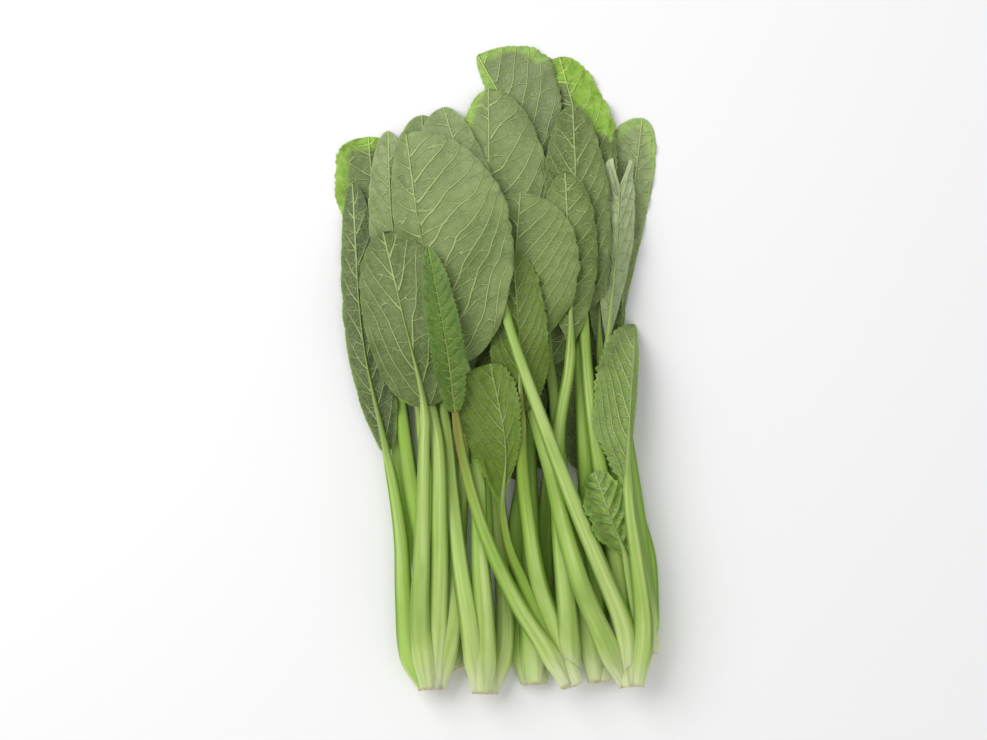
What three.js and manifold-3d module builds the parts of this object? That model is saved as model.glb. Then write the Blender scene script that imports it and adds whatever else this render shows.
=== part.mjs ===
// Choy sum bunch: eight young plants cut at the base and laid flat in one bunch.
// Millimetres, +Z up, leaf tips towards +Y. The bunch rests on the plane z = 0.
// Each plant is one solid of cut base, stalks and midribs; each leaf blade is a solid of its own.

import * as THREE from "three";
import { mergeVertices } from "three/addons/utils/BufferGeometryUtils.js";
import Module from "manifold-3d";

const wasm = await Module();
wasm.setup();

// Driving dimensions
const BLADE_THICKNESS = 1.0;
const CLEARANCE = 0.35;
const STALK_HALF_WIDTH = { base: 6.4, blade: 2.5, tip: 0.8 };
const STALK_HALF_HEIGHT = { base: 3.4, blade: 1.8, tip: 0.6 };
const STALK_TAPER_POWER = 0.8;
const MIDRIB_END = 0.8;
const MIDRIB_FLAT = 0.55;
const MIDRIB_SLACK = 0.15;
const CROWN_LENGTH = 24;
const CROWN_RADIUS = 7;
const CROWN_FLATTENING = 0.72;
const CROWN_SIDES = 10;
const CROWN_PROFILE = [[0, 0], [0.84, 0], [1, 0.2], [0.95, 0.5], [0.6, 0.9], [0, 1]];
const CUT_TAPER = 0.64;
const CUT_TAPER_LENGTH = 18;
const LEAN_SHARE = 0.3;
const LEAN_MAX = 3;
const ROOTED_LENGTH = 14;
const ROOT_INSET = 0.5;
const STALK_STATIONS = 9;
const BLADE_ROWS = 12;
const ROW_CROWDING = 0.6;
const BLADE_COLUMNS = [-1, -0.52, 0, 0.52, 1];
const BLADE_BASE_SHARE = 1.1;
const SERRATION = 0.03;
const OUTLINE_FULLNESS = 0.5;
const PLAIN_PEAK = 0.9;
const PLAIN_CUP = -0.05;
const CUP_POWER = 1.4;
const PLAIN_RIPPLE = 0.07;
const RIPPLE_TURNS = 3.2;
const RIPPLE_END = 1.05;
const LEAF_PHASE = 2.1;
const SIDE_PHASE = 1.9;
const TIP_HALF_WIDTH = 1.5;
const STALK_SPREAD = 2.6;
const REST_DEPTH = 0.4;
const PLAN_CENTRE = new THREE.Vector2(0.08, 0.9);

// How a leaf settles: where it starts, how far its stalk may sink into its own plant near the base,
// how much it sinks in a round at first and at last, and how strongly it keeps its own curve
const START_RISE = 20;
const MERGING = { depth: 30, from: 20, to: 60 };
const ROUNDS = 260;
const SINKING = { first: 0.5, last: 0.03, share: 0.7 };
const STALK_STIFFNESS = 0.5;
const BLADE_STIFFNESS = 0.35;
const FLATTENING = 0.35;
const EVENING = 0.45;
const BLADE_PULL = 0.12;
const PRESSES = 2;
const LAST_PRESSES = 400;
const TOUCH_STEP = 1.2;
const TOUCH_TOLERANCE = 0.01;

// Plants: centre of the cut face in plan and the least height of the crown's axis
const plants = {
  a: { cut: [-32.5, -160], height: 12 },
  b: { cut: [-6, -162], height: 13 },
  c: { cut: [20, -158], height: 5.4 },
  d: { cut: [38.5, -158], height: 15 },
  e: { cut: [53, -157], height: 5.4 },
  f: { cut: [68.5, -158], height: 16 },
  g: { cut: [76.5, -143], height: 5.4 },
  h: { cut: [-18, -150], height: 5.4 },
};

// Leaves from the bottom of the bunch to the top: plant, number, half widths of the blade to the left
// and right of its midrib, stalk points in plan, blade base, middle and tip in plan. A leaf lies with
// its underside up unless it says upper. peak, of both sides or of left and right, moves the widest
// place towards the tip. cup lifts the edges and ripple waves them, both in parts of the half width,
// and slim thins the stalk.
const leaves = [
  { plant: "h", no: 1, half: [13, 18], stalk: [[-32.5, -120], [-44, -75], [-51, -35]],
    blade: [[-54.5, -15], [-60, 30], [-65, 77.5]] },
  { plant: "c", no: 1, half: [25, 25], slim: 1.2, stalk: [[7, -115], [-2, -70], [-1, -30]],
    blade: [[0, -10], [-5, 55], [-12.5, 110]] },
  { plant: "e", no: 2, half: [18, 14], slim: 1.2, stalk: [[51.5, -115], [52, -85]],
    blade: [[51.5, -60], [51, 25], [58, 105]] },
  { plant: "g", no: 4, half: [10, 5], stalk: [[77, -120], [76.5, -95], [72, -75], [67.5, -55]],
    blade: [[66, -35], [65.5, -8], [65, 20]] },
  { plant: "h", no: 3, half: [22, 22], slim: 1.2, stalk: [[-20, -110], [-20.5, -75]],
    blade: [[-21, -50], [-22.5, 25], [-27.5, 95]] },
  { plant: "c", no: 4, half: [22, 20], slim: 1.2, stalk: [[24, -115], [24.5, -75]],
    blade: [[26, -50], [32, 30], [38.5, 115]] },
  { plant: "g", no: 1, half: [15, 9], peak: [4, 3], stalk: [[75, -115], [71, -75], [65, -30]],
    blade: [[61, 0], [66, 60], [74, 128.5]] },
  { plant: "h", no: 4, half: [19.5, 18], peak: [3.2, 1.7],
    stalk: [[-28.5, -115], [-41.5, -65], [-48, -20], [-52, 10]],
    blade: [[-55, 25], [-61, 75], [-65, 119]] },
  { plant: "c", no: 2, half: [20, 15], slim: 1.2, stalk: [[16, -115], [10, -80]],
    blade: [[12, -55], [12, 30], [16, 122]] },
  { plant: "e", no: 4, half: [20, 18], slim: 1.2, stalk: [[47, -115], [43.5, -75]],
    blade: [[44.5, -50], [46, 35], [52.5, 120]] },
  { plant: "h", no: 2, half: [23, 23], stalk: [[-26.5, -110], [-33.5, -60], [-37.5, -30]],
    blade: [[-39.5, -10], [-45, 40], [-53.5, 95]] },
  { plant: "e", no: 1, half: [33, 16.5], peak: [2.6, 1.5], stalk: [[48.5, -105], [44.5, -45], [42.5, 10]],
    blade: [[46, 50], [45, 105], [32, 159.5]] },
  { plant: "c", no: 3, half: [5.5, 27.5], peak: [1.2, 3], stalk: [[17.5, -95], [15.5, -25], [14.5, 30]],
    blade: [[14, 58], [9, 122], [-9.5, 160.5]] },
  { plant: "e", no: 3, half: [18, 15], stalk: [[42.5, -110], [32.5, -50], [29, -15]],
    blade: [[27, 3], [26, 40], [22, 80]] },
  { plant: "g", no: 3, half: [5.5, 6.5], slim: 0.8, stalk: [[71, -110], [59, -55], [53.5, -10]],
    blade: [[52, 15], [51.5, 48], [52.5, 80]] },
  { plant: "g", no: 2, half: [10.5, 8.5], peak: 1.8, cup: -0.5, stalk: [[73.5, -110], [66, -65], [58.5, -15]],
    blade: [[56, 12], [60.5, 65], [63, 107.5]] },
  { plant: "b", no: 3, half: [22, 31], peak: [1, 1.5], stalk: [[3.5, -140], [4, -115], [1, -75]],
    blade: [[-1.5, -42.5], [-3.5, 50], [-4, 143]] },
  { plant: "a", no: 1, half: [9, 13], cup: -0.3, ripple: 0.14,
    stalk: [[-43.5, -142.5], [-46.5, -115], [-48, -85], [-51.5, -60]],
    blade: [[-55.5, -40], [-67, 15], [-73, 95]] },
  { plant: "f", no: 5, half: [17, 16], stalk: [[64.5, -120], [55.5, -70], [48.5, -27.5], [44.5, 10]],
    blade: [[43.5, 30], [40.5, 85], [38.5, 135]] },
  { plant: "a", no: 4, half: [24, 22], stalk: [[-21.5, -125], [-19, -85], [-16.5, -50]],
    blade: [[-15.5, -30], [-17, 12], [-21.5, 55]] },
  { plant: "d", no: 4, half: [13, 14.5], peak: 1.3, stalk: [[35.5, -120], [31.5, -75], [31, -30], [36, 0]],
    blade: [[37, 15], [36, 60], [34.5, 100]] },
  { plant: "f", no: 2, half: [24, 32], peak: [1.1, 1.25],
    stalk: [[54.5, -135], [42.5, -107.5], [34, -80], [26.5, -48.5], [15.5, -13.5]],
    blade: [[9.5, 7.5], [9, 48], [12, 90]] },
  { plant: "d", no: 3, half: [14, 14.5], stalk: [[30.5, -133], [21.5, -107.5], [16, -75], [12.5, -42.5]],
    blade: [[12, -20], [11, 20], [8, 60]] },
  { plant: "b", no: 1, half: [24, 24], stalk: [[-13.5, -125], [-18.5, -93], [-22, -60], [-24.5, -32]],
    blade: [[-26.5, -15], [-33, 60], [-38, 130]] },
  { plant: "a", no: 3, half: [12, 11], stalk: [[-29, -115], [-28.5, -75], [-29.5, -35], [-36, -5]],
    blade: [[-40, 15], [-52, 72], [-55, 122]] },
  { plant: "f", no: 1, half: [26, 13], peak: [0.9, 1.2], slim: 0.9,
    stalk: [[64, -129.5], [51.5, -97.5], [35.5, -58.5], [20, -17.5], [8.5, 15]],
    blade: [[2, 37], [-12, 85], [-27, 134]] },
  { plant: "b", no: 2, half: [13, 45], peak: [0.95, 1.15],
    stalk: [[-6, -125], [-8, -95], [-9, -55], [-10, -20]], blade: [[-16, 4], [-36, 60], [-46, 121]] },
  { plant: "a", no: 2, half: [20, 26], stalk: [[-38, -127.5], [-37, -85], [-36, -40]],
    blade: [[-36, -17.5], [-46.5, 28], [-57, 70]] },
  { plant: "f", no: 4, half: [10, 11], peak: 1.1, slim: 0.7, cup: -0.35, ripple: 0.25,
    stalk: [[69.5, -125], [65.5, -100]], blade: [[64, -91], [57, -73], [49, -50]] },
  { plant: "f", no: 3, half: [18, 3], peak: [1.2, 1.5], stalk: [[73.5, -130], [70, -95], [66.5, -70]],
    blade: [[65.5, -54], [67, -15], [70, 24]] },
  { plant: "d", no: 2, half: [21, 9.5], peak: [1.9, 2.6], slim: 0.8,
    stalk: [[25, -135], [12.5, -104], [6, -87.5]],
    blade: [[3, -69], [4.5, -38], [-3, 4]] },
  { plant: "d", no: 1, half: [7.5, 8], upper: true, cup: 0.25, slim: 0.85,
    stalk: [[25.5, -140], [10, -115], [-6, -80], [-15.5, -47.5]],
    blade: [[-20.5, -20], [-25, 15], [-34, 62]] },
];

// Colours, one material for each kind of tissue
const stalkMaterial = new THREE.MeshStandardMaterial({ color: 0x9cbf62, roughness: 0.42, metalness: 0 });
const undersideMaterial = new THREE.MeshStandardMaterial({ color: 0x7f9a62, roughness: 0.62, metalness: 0 });
const upperMaterial = new THREE.MeshStandardMaterial({ color: 0x4f7f33, roughness: 0.5, metalness: 0 });

const lerp = THREE.MathUtils.lerp;
const smoothstep = THREE.MathUtils.smoothstep;

// Height map: the top of everything laid down so far, on a square grid in plan
const CELL = 0.8;
const MAP_MIN = new THREE.Vector2(-110, -180);
const MAP_SIZE = new THREE.Vector2(220, 360);
const MAP_COLUMNS = Math.ceil(MAP_SIZE.x / CELL);
const MAP_ROWS = Math.ceil(MAP_SIZE.y / CELL);
const GROUND = new THREE.Vector3(400, 500, 10);
const newMap = () => new Float32Array(MAP_COLUMNS * MAP_ROWS).fill(-REST_DEPTH - CLEARANCE);
const cellOf = (x, y) => {
  const column = Math.round((x - MAP_MIN.x) / CELL);
  const row = Math.round((y - MAP_MIN.y) / CELL);
  return row * MAP_COLUMNS + column;
};

// Raise the map to the upper faces of a mesh
function raise(map, points, triangles) {
  for (let t = 0; t < triangles.length; t += 3) {
    const [a, b, c] = [points[triangles[t]], points[triangles[t + 1]], points[triangles[t + 2]]];
    const area = (b.x - a.x) * (c.y - a.y) - (c.x - a.x) * (b.y - a.y);
    if (area < 1e-6) continue;
    const left = Math.ceil((Math.min(a.x, b.x, c.x) - MAP_MIN.x) / CELL);
    const right = Math.floor((Math.max(a.x, b.x, c.x) - MAP_MIN.x) / CELL);
    const low = Math.ceil((Math.min(a.y, b.y, c.y) - MAP_MIN.y) / CELL);
    const high = Math.floor((Math.max(a.y, b.y, c.y) - MAP_MIN.y) / CELL);
    for (let row = low; row <= high; row += 1) {
      for (let column = left; column <= right; column += 1) {
        const x = MAP_MIN.x + column * CELL;
        const y = MAP_MIN.y + row * CELL;
        const wb = ((x - a.x) * (c.y - a.y) - (c.x - a.x) * (y - a.y)) / area;
        const wc = ((b.x - a.x) * (y - a.y) - (x - a.x) * (b.y - a.y)) / area;
        if (wb < 0 || wc < 0 || wb + wc > 1) continue;
        const z = a.z + wb * (b.z - a.z) + wc * (c.z - a.z);
        const cell = row * MAP_COLUMNS + column;
        map[cell] = Math.max(map[cell], z);
      }
    }
  }
}

// The highest of several maps, spread by one cell each way so that slopes are kept clear
function spread(maps) {
  const highest = newMap();
  for (const map of maps) {
    for (let i = 0; i < highest.length; i += 1) highest[i] = Math.max(highest[i], map[i]);
  }
  const wide = newMap();
  for (let row = 1; row < MAP_ROWS - 1; row += 1) {
    for (let column = 1; column < MAP_COLUMNS - 1; column += 1) {
      const cell = row * MAP_COLUMNS + column;
      let top = -Infinity;
      for (const step of [-MAP_COLUMNS, 0, MAP_COLUMNS]) {
        top = Math.max(top, highest[cell + step - 1], highest[cell + step], highest[cell + step + 1]);
      }
      wide[cell] = top;
    }
  }
  return wide;
}

// Outline of a blade on the side of v: half width in parts of the widest, from stalk (0) to tip (1)
function outline(leaf, u, v) {
  const peak = leaf.peak ?? PLAIN_PEAK;
  const x = u ** (Array.isArray(peak) ? peak[v > 0 ? 1 : 0] : peak);
  return (4 * x * (1 - x)) ** OUTLINE_FULLNESS;
}

// Half width and half height of a stalk and its midrib at a station
function stalkSize(leaf, station) {
  const slim = leaf.slim ?? 1;
  const size = (range) => {
    if (station.u > 0) return lerp(range.blade, range.tip, station.u / MIDRIB_END) * slim;
    const atCut = lerp(CUT_TAPER, 1, smoothstep(station.length, 0, CUT_TAPER_LENGTH));
    return lerp(range.base, range.blade, station.along ** STALK_TAPER_POWER) * slim * atCut;
  };
  return { width: size(STALK_HALF_WIDTH), height: size(STALK_HALF_HEIGHT) };
}

// Plan of a leaf: stations along the stalk and blade, each with its place and its sideways direction
function planLeaf(leaf, index) {
  const [cutX, cutY] = plants[leaf.plant].cut;
  const lean = THREE.MathUtils.clamp((leaf.stalk[0][0] - cutX) * LEAN_SHARE, -LEAN_MAX, LEAN_MAX);
  const points = [[cutX + lean, cutY + ROOT_INSET], ...leaf.stalk, ...leaf.blade];
  const flat = points.map(([x, y]) => new THREE.Vector3(x, y, 0));
  const curve = new THREE.CatmullRomCurve3(flat, false, "centripetal");
  curve.arcLengthDivisions = 400;
  const total = curve.getLength();
  const baseT = (points.length - leaf.blade.length) / (points.length - 1);
  const lengths = curve.getLengths();
  const baseLength = lengths[Math.round(baseT * (lengths.length - 1))];
  const stations = [];
  const add = (length, along, u) => {
    const at = Math.min(length / total, 1);
    const place = curve.getPointAt(at);
    const way = curve.getTangentAt(at);
    stations.push({ length, along, u, x: place.x, y: place.y, sideX: way.y, sideY: -way.x });
  };
  for (let i = 0; i < STALK_STATIONS; i += 1) {
    const along = i / STALK_STATIONS;
    add(along * baseLength, along, -1);
  }
  for (let row = 0; row < BLADE_ROWS; row += 1) {
    const even = row / (BLADE_ROWS - 1);
    const u = lerp(even, 0.5 - 0.5 * Math.cos(Math.PI * even), ROW_CROWDING);
    add(lerp(baseLength, total, u), 1, u);
  }
  for (const station of stations) {
    const size = stalkSize(leaf, station);
    station.width = size.width;
    station.height = size.height;
  }
  return { ...leaf, index, stations, baseLength };
}

// Half width of the blade at a row on the side of v; the margin is cut in and out from row to row
function bladeHalfWidth(leaf, row, v) {
  const { u, width } = leaf.stations[STALK_STATIONS + row];
  const cut = row % 2 ? 1 + SERRATION : 1 - SERRATION;
  const widest = leaf.half[v > 0 ? 1 : 0];
  const least = row === 0 ? width * BLADE_BASE_SHARE : TIP_HALF_WIDTH;
  return Math.max(widest * outline(leaf, u, v) * cut, least);
}

// Height of the free blade above its midrib line: cupped edges with waves that grow towards the margin
function restHeight(leaf, row, v) {
  const { u } = leaf.stations[STALK_STATIONS + row];
  const half = (leaf.half[0] + leaf.half[1]) / 2;
  const cup = (leaf.cup ?? PLAIN_CUP) * half * Math.abs(v) ** CUP_POWER;
  const phase = leaf.index * LEAF_PHASE + (v > 0 ? SIDE_PHASE : 0);
  const ends = Math.sin(Math.PI * Math.min(1, u * RIPPLE_END));
  const wave = Math.sin(RIPPLE_TURNS * 2 * Math.PI * u + phase) * ends * v * v;
  return outline(leaf, u, v) * (cup + (leaf.ripple ?? PLAIN_RIPPLE) * half * wave);
}

// Lay a leaf on what is already there. Heights start high, sink, keep their own curve and
// never come closer than the clearance to what lies below.
function layLeaf(leaf, below, ownPlant, crownHeight, order) {
  const stations = leaf.stations;
  const count = stations.length;
  const sideColumns = [0, 1, 3, 4];
  const heights = new Float64Array(count + BLADE_ROWS * 4);
  const vertex = (row, column) => count + row * 4 + sideColumns.indexOf(column);
  const toBlade = (station) => (leaf.upper ? 1 : -1) * (BLADE_THICKNESS / 2 + CLEARANCE + station.height);

  const fixed = stations.findIndex((station) => station.length > ROOTED_LENGTH);
  heights.fill(crownHeight + START_RISE);
  for (let i = 0; i < fixed; i += 1) heights[i] = crownHeight + order * STALK_SPREAD;

  const contacts = [];
  const addContact = (ids, weights, drop, need) => {
    let square = 0;
    for (let i = 0; i < ids.length; i += 1) if (ids[i] >= fixed) square += weights[i] * weights[i];
    if (square > 1e-6) contacts.push({ ids, weights, drop, need, square });
  };

  // Underside of the stalk and midrib
  const lastBar = stations.findIndex((station) => station.u > MIDRIB_END);
  for (let i = 0; i < lastBar; i += 1) {
    const [a, b] = [stations[i], stations[i + 1]];
    const steps = Math.max(2, Math.ceil((b.length - a.length) / CELL));
    for (let step = 0; step <= steps; step += 1) {
      const t = step / steps;
      const width = lerp(a.width, b.width, t);
      const height = lerp(a.height, b.height, t);
      const length = lerp(a.length, b.length, t);
      for (let side = -1; side <= 1.001; side += 0.2) {
        const x = lerp(a.x, b.x, t) + side * width * lerp(a.sideX, b.sideX, t);
        const y = lerp(a.y, b.y, t) + side * width * lerp(a.sideY, b.sideY, t);
        const slant = (1 - Math.abs(side)) / (1 - MIDRIB_FLAT);
        const reach = height * Math.min(1, slant);
        const merged = MERGING.depth * (1 - smoothstep(length, MERGING.from, MERGING.to));
        const own = ownPlant[cellOf(x, y)] - merged;
        const need = Math.max(below[cellOf(x, y)], own) + CLEARANCE;
        addContact([i, i + 1], [1 - t, t], -reach, need);
      }
    }
  }

  // Underside of the blade
  for (let row = 0; row < BLADE_ROWS - 1; row += 1) {
    const [a, b] = [stations[STALK_STATIONS + row], stations[STALK_STATIONS + row + 1]];
    const steps = Math.max(2, Math.ceil((b.length - a.length) / TOUCH_STEP));
    for (let column = 0; column < 4; column += 1) {
      const across = Math.max(2, Math.ceil((Math.max(...leaf.half) * 0.5) / TOUCH_STEP));
      for (let step = 0; step <= steps; step += 1) {
        for (let part = 0; part <= across; part += 1) {
          const t = step / steps;
          const p = part / across;
          // The two triangles of a cell share the diagonal from its first to its last corner
          const weights = t >= p ? [1 - t, 0, t - p, p] : [1 - p, p - t, 0, t];
          const corners = [[row, column], [row, column + 1], [row + 1, column], [row + 1, column + 1]];
          let x = 0;
          let y = 0;
          let drop = -BLADE_THICKNESS / 2;
          const ids = corners.map(([r, c], k) => {
            const station = stations[STALK_STATIONS + r];
            const offset = BLADE_COLUMNS[c] * bladeHalfWidth(leaf, r, BLADE_COLUMNS[c]);
            x += weights[k] * (station.x + offset * station.sideX);
            y += weights[k] * (station.y + offset * station.sideY);
            if (c !== 2) return vertex(r, c);
            drop += weights[k] * toBlade(station);
            return STALK_STATIONS + r;
          });
          const need = Math.max(below[cellOf(x, y)], ownPlant[cellOf(x, y)]) + CLEARANCE;
          addContact(ids, weights, drop, need);
        }
      }
    }
  }

  // The blade beside the midrib stays clear of the midrib's flat face
  for (let row = 0; row < BLADE_ROWS; row += 1) {
    const id = STALK_STATIONS + row;
    const station = stations[id];
    if (station.u > MIDRIB_END + 0.1) break;
    const columns = row === 0 ? sideColumns : [1, 3];
    for (const column of columns) {
      const distance = Math.abs(BLADE_COLUMNS[column]) * bladeHalfWidth(leaf, row, BLADE_COLUMNS[column]);
      const rise = (MIDRIB_SLACK * distance) / (MIDRIB_FLAT * station.width);
      const side = leaf.upper ? -1 : 1;
      addContact([id, vertex(row, column)], [side, -side], side * toBlade(station) + rise, 0);
    }
  }

  const press = (times) => {
    for (let pass = 0; pass < times; pass += 1) {
      let worst = 0;
      for (const { ids, weights, drop, need, square } of contacts) {
        let z = drop;
        for (let i = 0; i < ids.length; i += 1) z += weights[i] * heights[ids[i]];
        const lift = need - z;
        if (lift <= 0) continue;
        worst = Math.max(worst, lift);
        for (let i = 0; i < ids.length; i += 1) {
          if (ids[i] >= fixed) heights[ids[i]] += (weights[i] * lift) / square;
        }
      }
      if (worst < TOUCH_TOLERANCE) return;
    }
  };

  const relax = (sink) => {
    for (let i = fixed; i < heights.length; i += 1) heights[i] -= sink;
    for (let i = fixed; i < count - 1; i += 1) {
      const before = stations[i].length - stations[i - 1].length;
      const after = stations[i + 1].length - stations[i].length;
      const straight = (heights[i - 1] * after + heights[i + 1] * before) / (before + after);
      heights[i] += STALK_STIFFNESS * (straight - heights[i]);
    }
    const end = count - 1;
    const onwards = 2 * heights[end - 1] - heights[end - 2];
    heights[end] += (STALK_STIFFNESS / 2) * (onwards - heights[end]);
    for (let row = 0; row < BLADE_ROWS; row += 1) {
      const station = STALK_STATIONS + row;
      const blade = (r, c) => {
        if (c === 2) return heights[STALK_STATIONS + r] + toBlade(stations[STALK_STATIONS + r]);
        return heights[vertex(r, c)] - restHeight(leaf, r, BLADE_COLUMNS[c]);
      };
      for (const column of sideColumns) {
        const inner = column < 2 ? column + 1 : column - 1;
        const further = column < 2 ? column + 2 : column - 2;
        const edge = column === 0 || column === 4;
        const straight = edge
          ? 2 * blade(row, inner) - blade(row, further)
          : (blade(row, column < 2 ? 0 : 4) + blade(row, 2)) / 2;
        let target = lerp(straight, blade(row, 2), FLATTENING);
        if (row > 0 && row < BLADE_ROWS - 1) {
          target = lerp(target, (blade(row - 1, column) + blade(row + 1, column)) / 2, EVENING);
        }
        const id = vertex(row, column);
        const rest = restHeight(leaf, row, BLADE_COLUMNS[column]);
        heights[id] += BLADE_STIFFNESS * (target + rest - heights[id]);
      }
      if (station < count - 1) {
        const pull = (blade(row, 1) + blade(row, 3)) / 2 - blade(row, 2);
        heights[station] += BLADE_PULL * BLADE_STIFFNESS * pull;
      }
    }
  };

  for (let round = 0; round < ROUNDS; round += 1) {
    relax(lerp(SINKING.first, SINKING.last, Math.min(1, round / (ROUNDS * SINKING.share))));
    press(PRESSES);
  }
  press(LAST_PRESSES);
  return { heights, vertex, toBlade };
}

// Closed skin round a stack of rings with the same number of points
function skin(rings, closeRow) {
  const points = rings.flat();
  const sides = rings[0].length;
  const triangles = [];
  for (let i = 0; i < rings.length - 1; i += 1) {
    for (let j = 0; j < sides; j += 1) {
      const next = (j + 1) % sides;
      const [a, b, c, d] = [i * sides + j, i * sides + next, (i + 1) * sides + j, (i + 1) * sides + next];
      triangles.push(a, b, d, a, d, c);
    }
  }
  closeRow(triangles, 0, true);
  closeRow(triangles, (rings.length - 1) * sides, false);
  return { points, triangles };
}

// Six-sided stalk that runs on as a tapering midrib
function stalkMesh(leaf, heights) {
  const rings = [];
  for (const [i, station] of leaf.stations.entries()) {
    if (station.u > MIDRIB_END) break;
    const { x, y, sideX, sideY, width, height } = station;
    const at = (side, up) =>
      new THREE.Vector3(x + side * width * sideX, y + side * width * sideY, heights[i] + up * height);
    const flat = MIDRIB_FLAT;
    rings.push([at(-1, 0), at(-flat, 1), at(flat, 1), at(1, 0), at(flat, -1), at(-flat, -1)]);
  }
  return skin(rings, (triangles, first, start) => {
    for (let k = 1; k < 5; k += 1) {
      if (start) triangles.push(first, first + k + 1, first + k);
      else triangles.push(first, first + k, first + k + 1);
    }
  });
}

// Blade of even upright thickness, split into triangles alike on both faces
function bladeMesh(leaf, heights, vertex, toBlade) {
  const rings = [];
  for (let row = 0; row < BLADE_ROWS; row += 1) {
    const station = leaf.stations[STALK_STATIONS + row];
    const middle = BLADE_COLUMNS.map((v, column) => {
      const half = bladeHalfWidth(leaf, row, v);
      const axis = heights[STALK_STATIONS + row];
      const z = column === 2 ? axis + toBlade(station) : heights[vertex(row, column)];
      return new THREE.Vector3(station.x + v * half * station.sideX, station.y + v * half * station.sideY, z);
    });
    const shifted = (up) => middle.map((p) => new THREE.Vector3(p.x, p.y, p.z + (up * BLADE_THICKNESS) / 2));
    rings.push([...shifted(1), ...shifted(-1).reverse()]);
  }
  const points = rings.flat();
  const columns = BLADE_COLUMNS.length;
  const right = columns - 1;
  const sides = 2 * columns;
  const top = (row, column) => row * sides + column;
  const bottom = (row, column) => row * sides + sides - 1 - column;
  const triangles = [];
  const quad = (a, b, c, d) => triangles.push(a, b, d, a, d, c);
  for (let row = 0; row < BLADE_ROWS - 1; row += 1) {
    for (let column = 0; column < right; column += 1) {
      quad(top(row, column), top(row, column + 1), top(row + 1, column), top(row + 1, column + 1));
      const [a, b] = [bottom(row, column), bottom(row, column + 1)];
      const [c, d] = [bottom(row + 1, column), bottom(row + 1, column + 1)];
      triangles.push(a, d, b, a, c, d);
    }
    quad(bottom(row, 0), top(row, 0), bottom(row + 1, 0), top(row + 1, 0));
    quad(top(row, right), bottom(row, right), top(row + 1, right), bottom(row + 1, right));
  }
  const last = BLADE_ROWS - 1;
  for (let column = 0; column < right; column += 1) {
    quad(bottom(0, column), bottom(0, column + 1), top(0, column), top(0, column + 1));
    quad(top(last, column), top(last, column + 1), bottom(last, column), bottom(last, column + 1));
  }
  return { points, triangles };
}

// Crown: the short solid base that the stalks grow from, with the flat cut at its lower end
function crownMesh(plant, height) {
  const points = CROWN_PROFILE.map(([r, z]) => new THREE.Vector2(r * CROWN_RADIUS, z * CROWN_LENGTH));
  const geometry = new THREE.LatheGeometry(points, CROWN_SIDES);
  geometry.rotateY(Math.PI / CROWN_SIDES);
  geometry.scale(1, 1, CROWN_FLATTENING);
  geometry.rotateZ(planHeading(plant) - Math.PI / 2);
  const [cutX, cutY] = plants[plant].cut;
  geometry.translate(cutX, cutY, height);
  return weld(geometry);
}

// Mean direction of a plant's stalks in plan, as an angle from +X
function planHeading(plant) {
  const own = leaves.filter((leaf) => leaf.plant === plant);
  const x = own.reduce((sum, leaf) => sum + leaf.stalk[0][0], 0) / own.length - plants[plant].cut[0];
  const y = own.reduce((sum, leaf) => sum + leaf.stalk[0][1], 0) / own.length - plants[plant].cut[1];
  return Math.atan2(y, x);
}

// Points and triangles of a geometry with its shared vertices merged
function weld(geometry) {
  geometry.deleteAttribute("normal");
  geometry.deleteAttribute("uv");
  const merged = mergeVertices(geometry, 1e-4);
  const position = merged.getAttribute("position");
  const points = [];
  for (let i = 0; i < position.count; i += 1) {
    points.push(new THREE.Vector3().fromBufferAttribute(position, i));
  }
  const index = [...merged.getIndex().array];
  const triangles = [];
  for (let i = 0; i < index.length; i += 3) {
    const [a, b, c] = index.slice(i, i + 3);
    if (a !== b && b !== c && a !== c) triangles.push(a, b, c);
  }
  return { points, triangles };
}

// Solid for cutting and joining
function solidOf({ points, triangles }) {
  const vertProperties = new Float32Array(points.flatMap((p) => [p.x, p.y, p.z]));
  const mesh = new wasm.Mesh({ numProp: 3, vertProperties, triVerts: new Uint32Array(triangles) });
  mesh.merge();
  return new wasm.Manifold(mesh);
}

// Geometry of a solid, moved so that the bunch is centred over the origin
function geometryOf(solid) {
  const mesh = solid.getMesh();
  const geometry = new THREE.BufferGeometry();
  geometry.setAttribute("position", new THREE.BufferAttribute(new Float32Array(mesh.vertProperties), 3));
  geometry.setIndex(new THREE.BufferAttribute(new Uint32Array(mesh.triVerts), 1));
  geometry.translate(-PLAN_CENTRE.x, -PLAN_CENTRE.y, 0);
  geometry.computeVertexNormals();
  return geometry;
}

// Lay the whole bunch, leaf by leaf from the bottom up
const bladeMap = newMap();
const plantMaps = Object.fromEntries(Object.keys(plants).map((name) => [name, newMap()]));
const crownHeights = {};
const crowns = {};
const stalks = Object.fromEntries(Object.keys(plants).map((name) => [name, []]));
const blades = [];

// Set a crown down at its least height or just above what lies under it
function layCrown(plant, others) {
  let height = plants[plant].height;
  const mesh = crownMesh(plant, 0);
  for (const point of mesh.points) {
    if (point.z > 0) continue;
    height = Math.max(height, others[cellOf(point.x, point.y)] + CLEARANCE - point.z);
  }
  crownHeights[plant] = height;
  crowns[plant] = crownMesh(plant, height);
  raise(plantMaps[plant], crowns[plant].points, crowns[plant].triangles);
}

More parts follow.
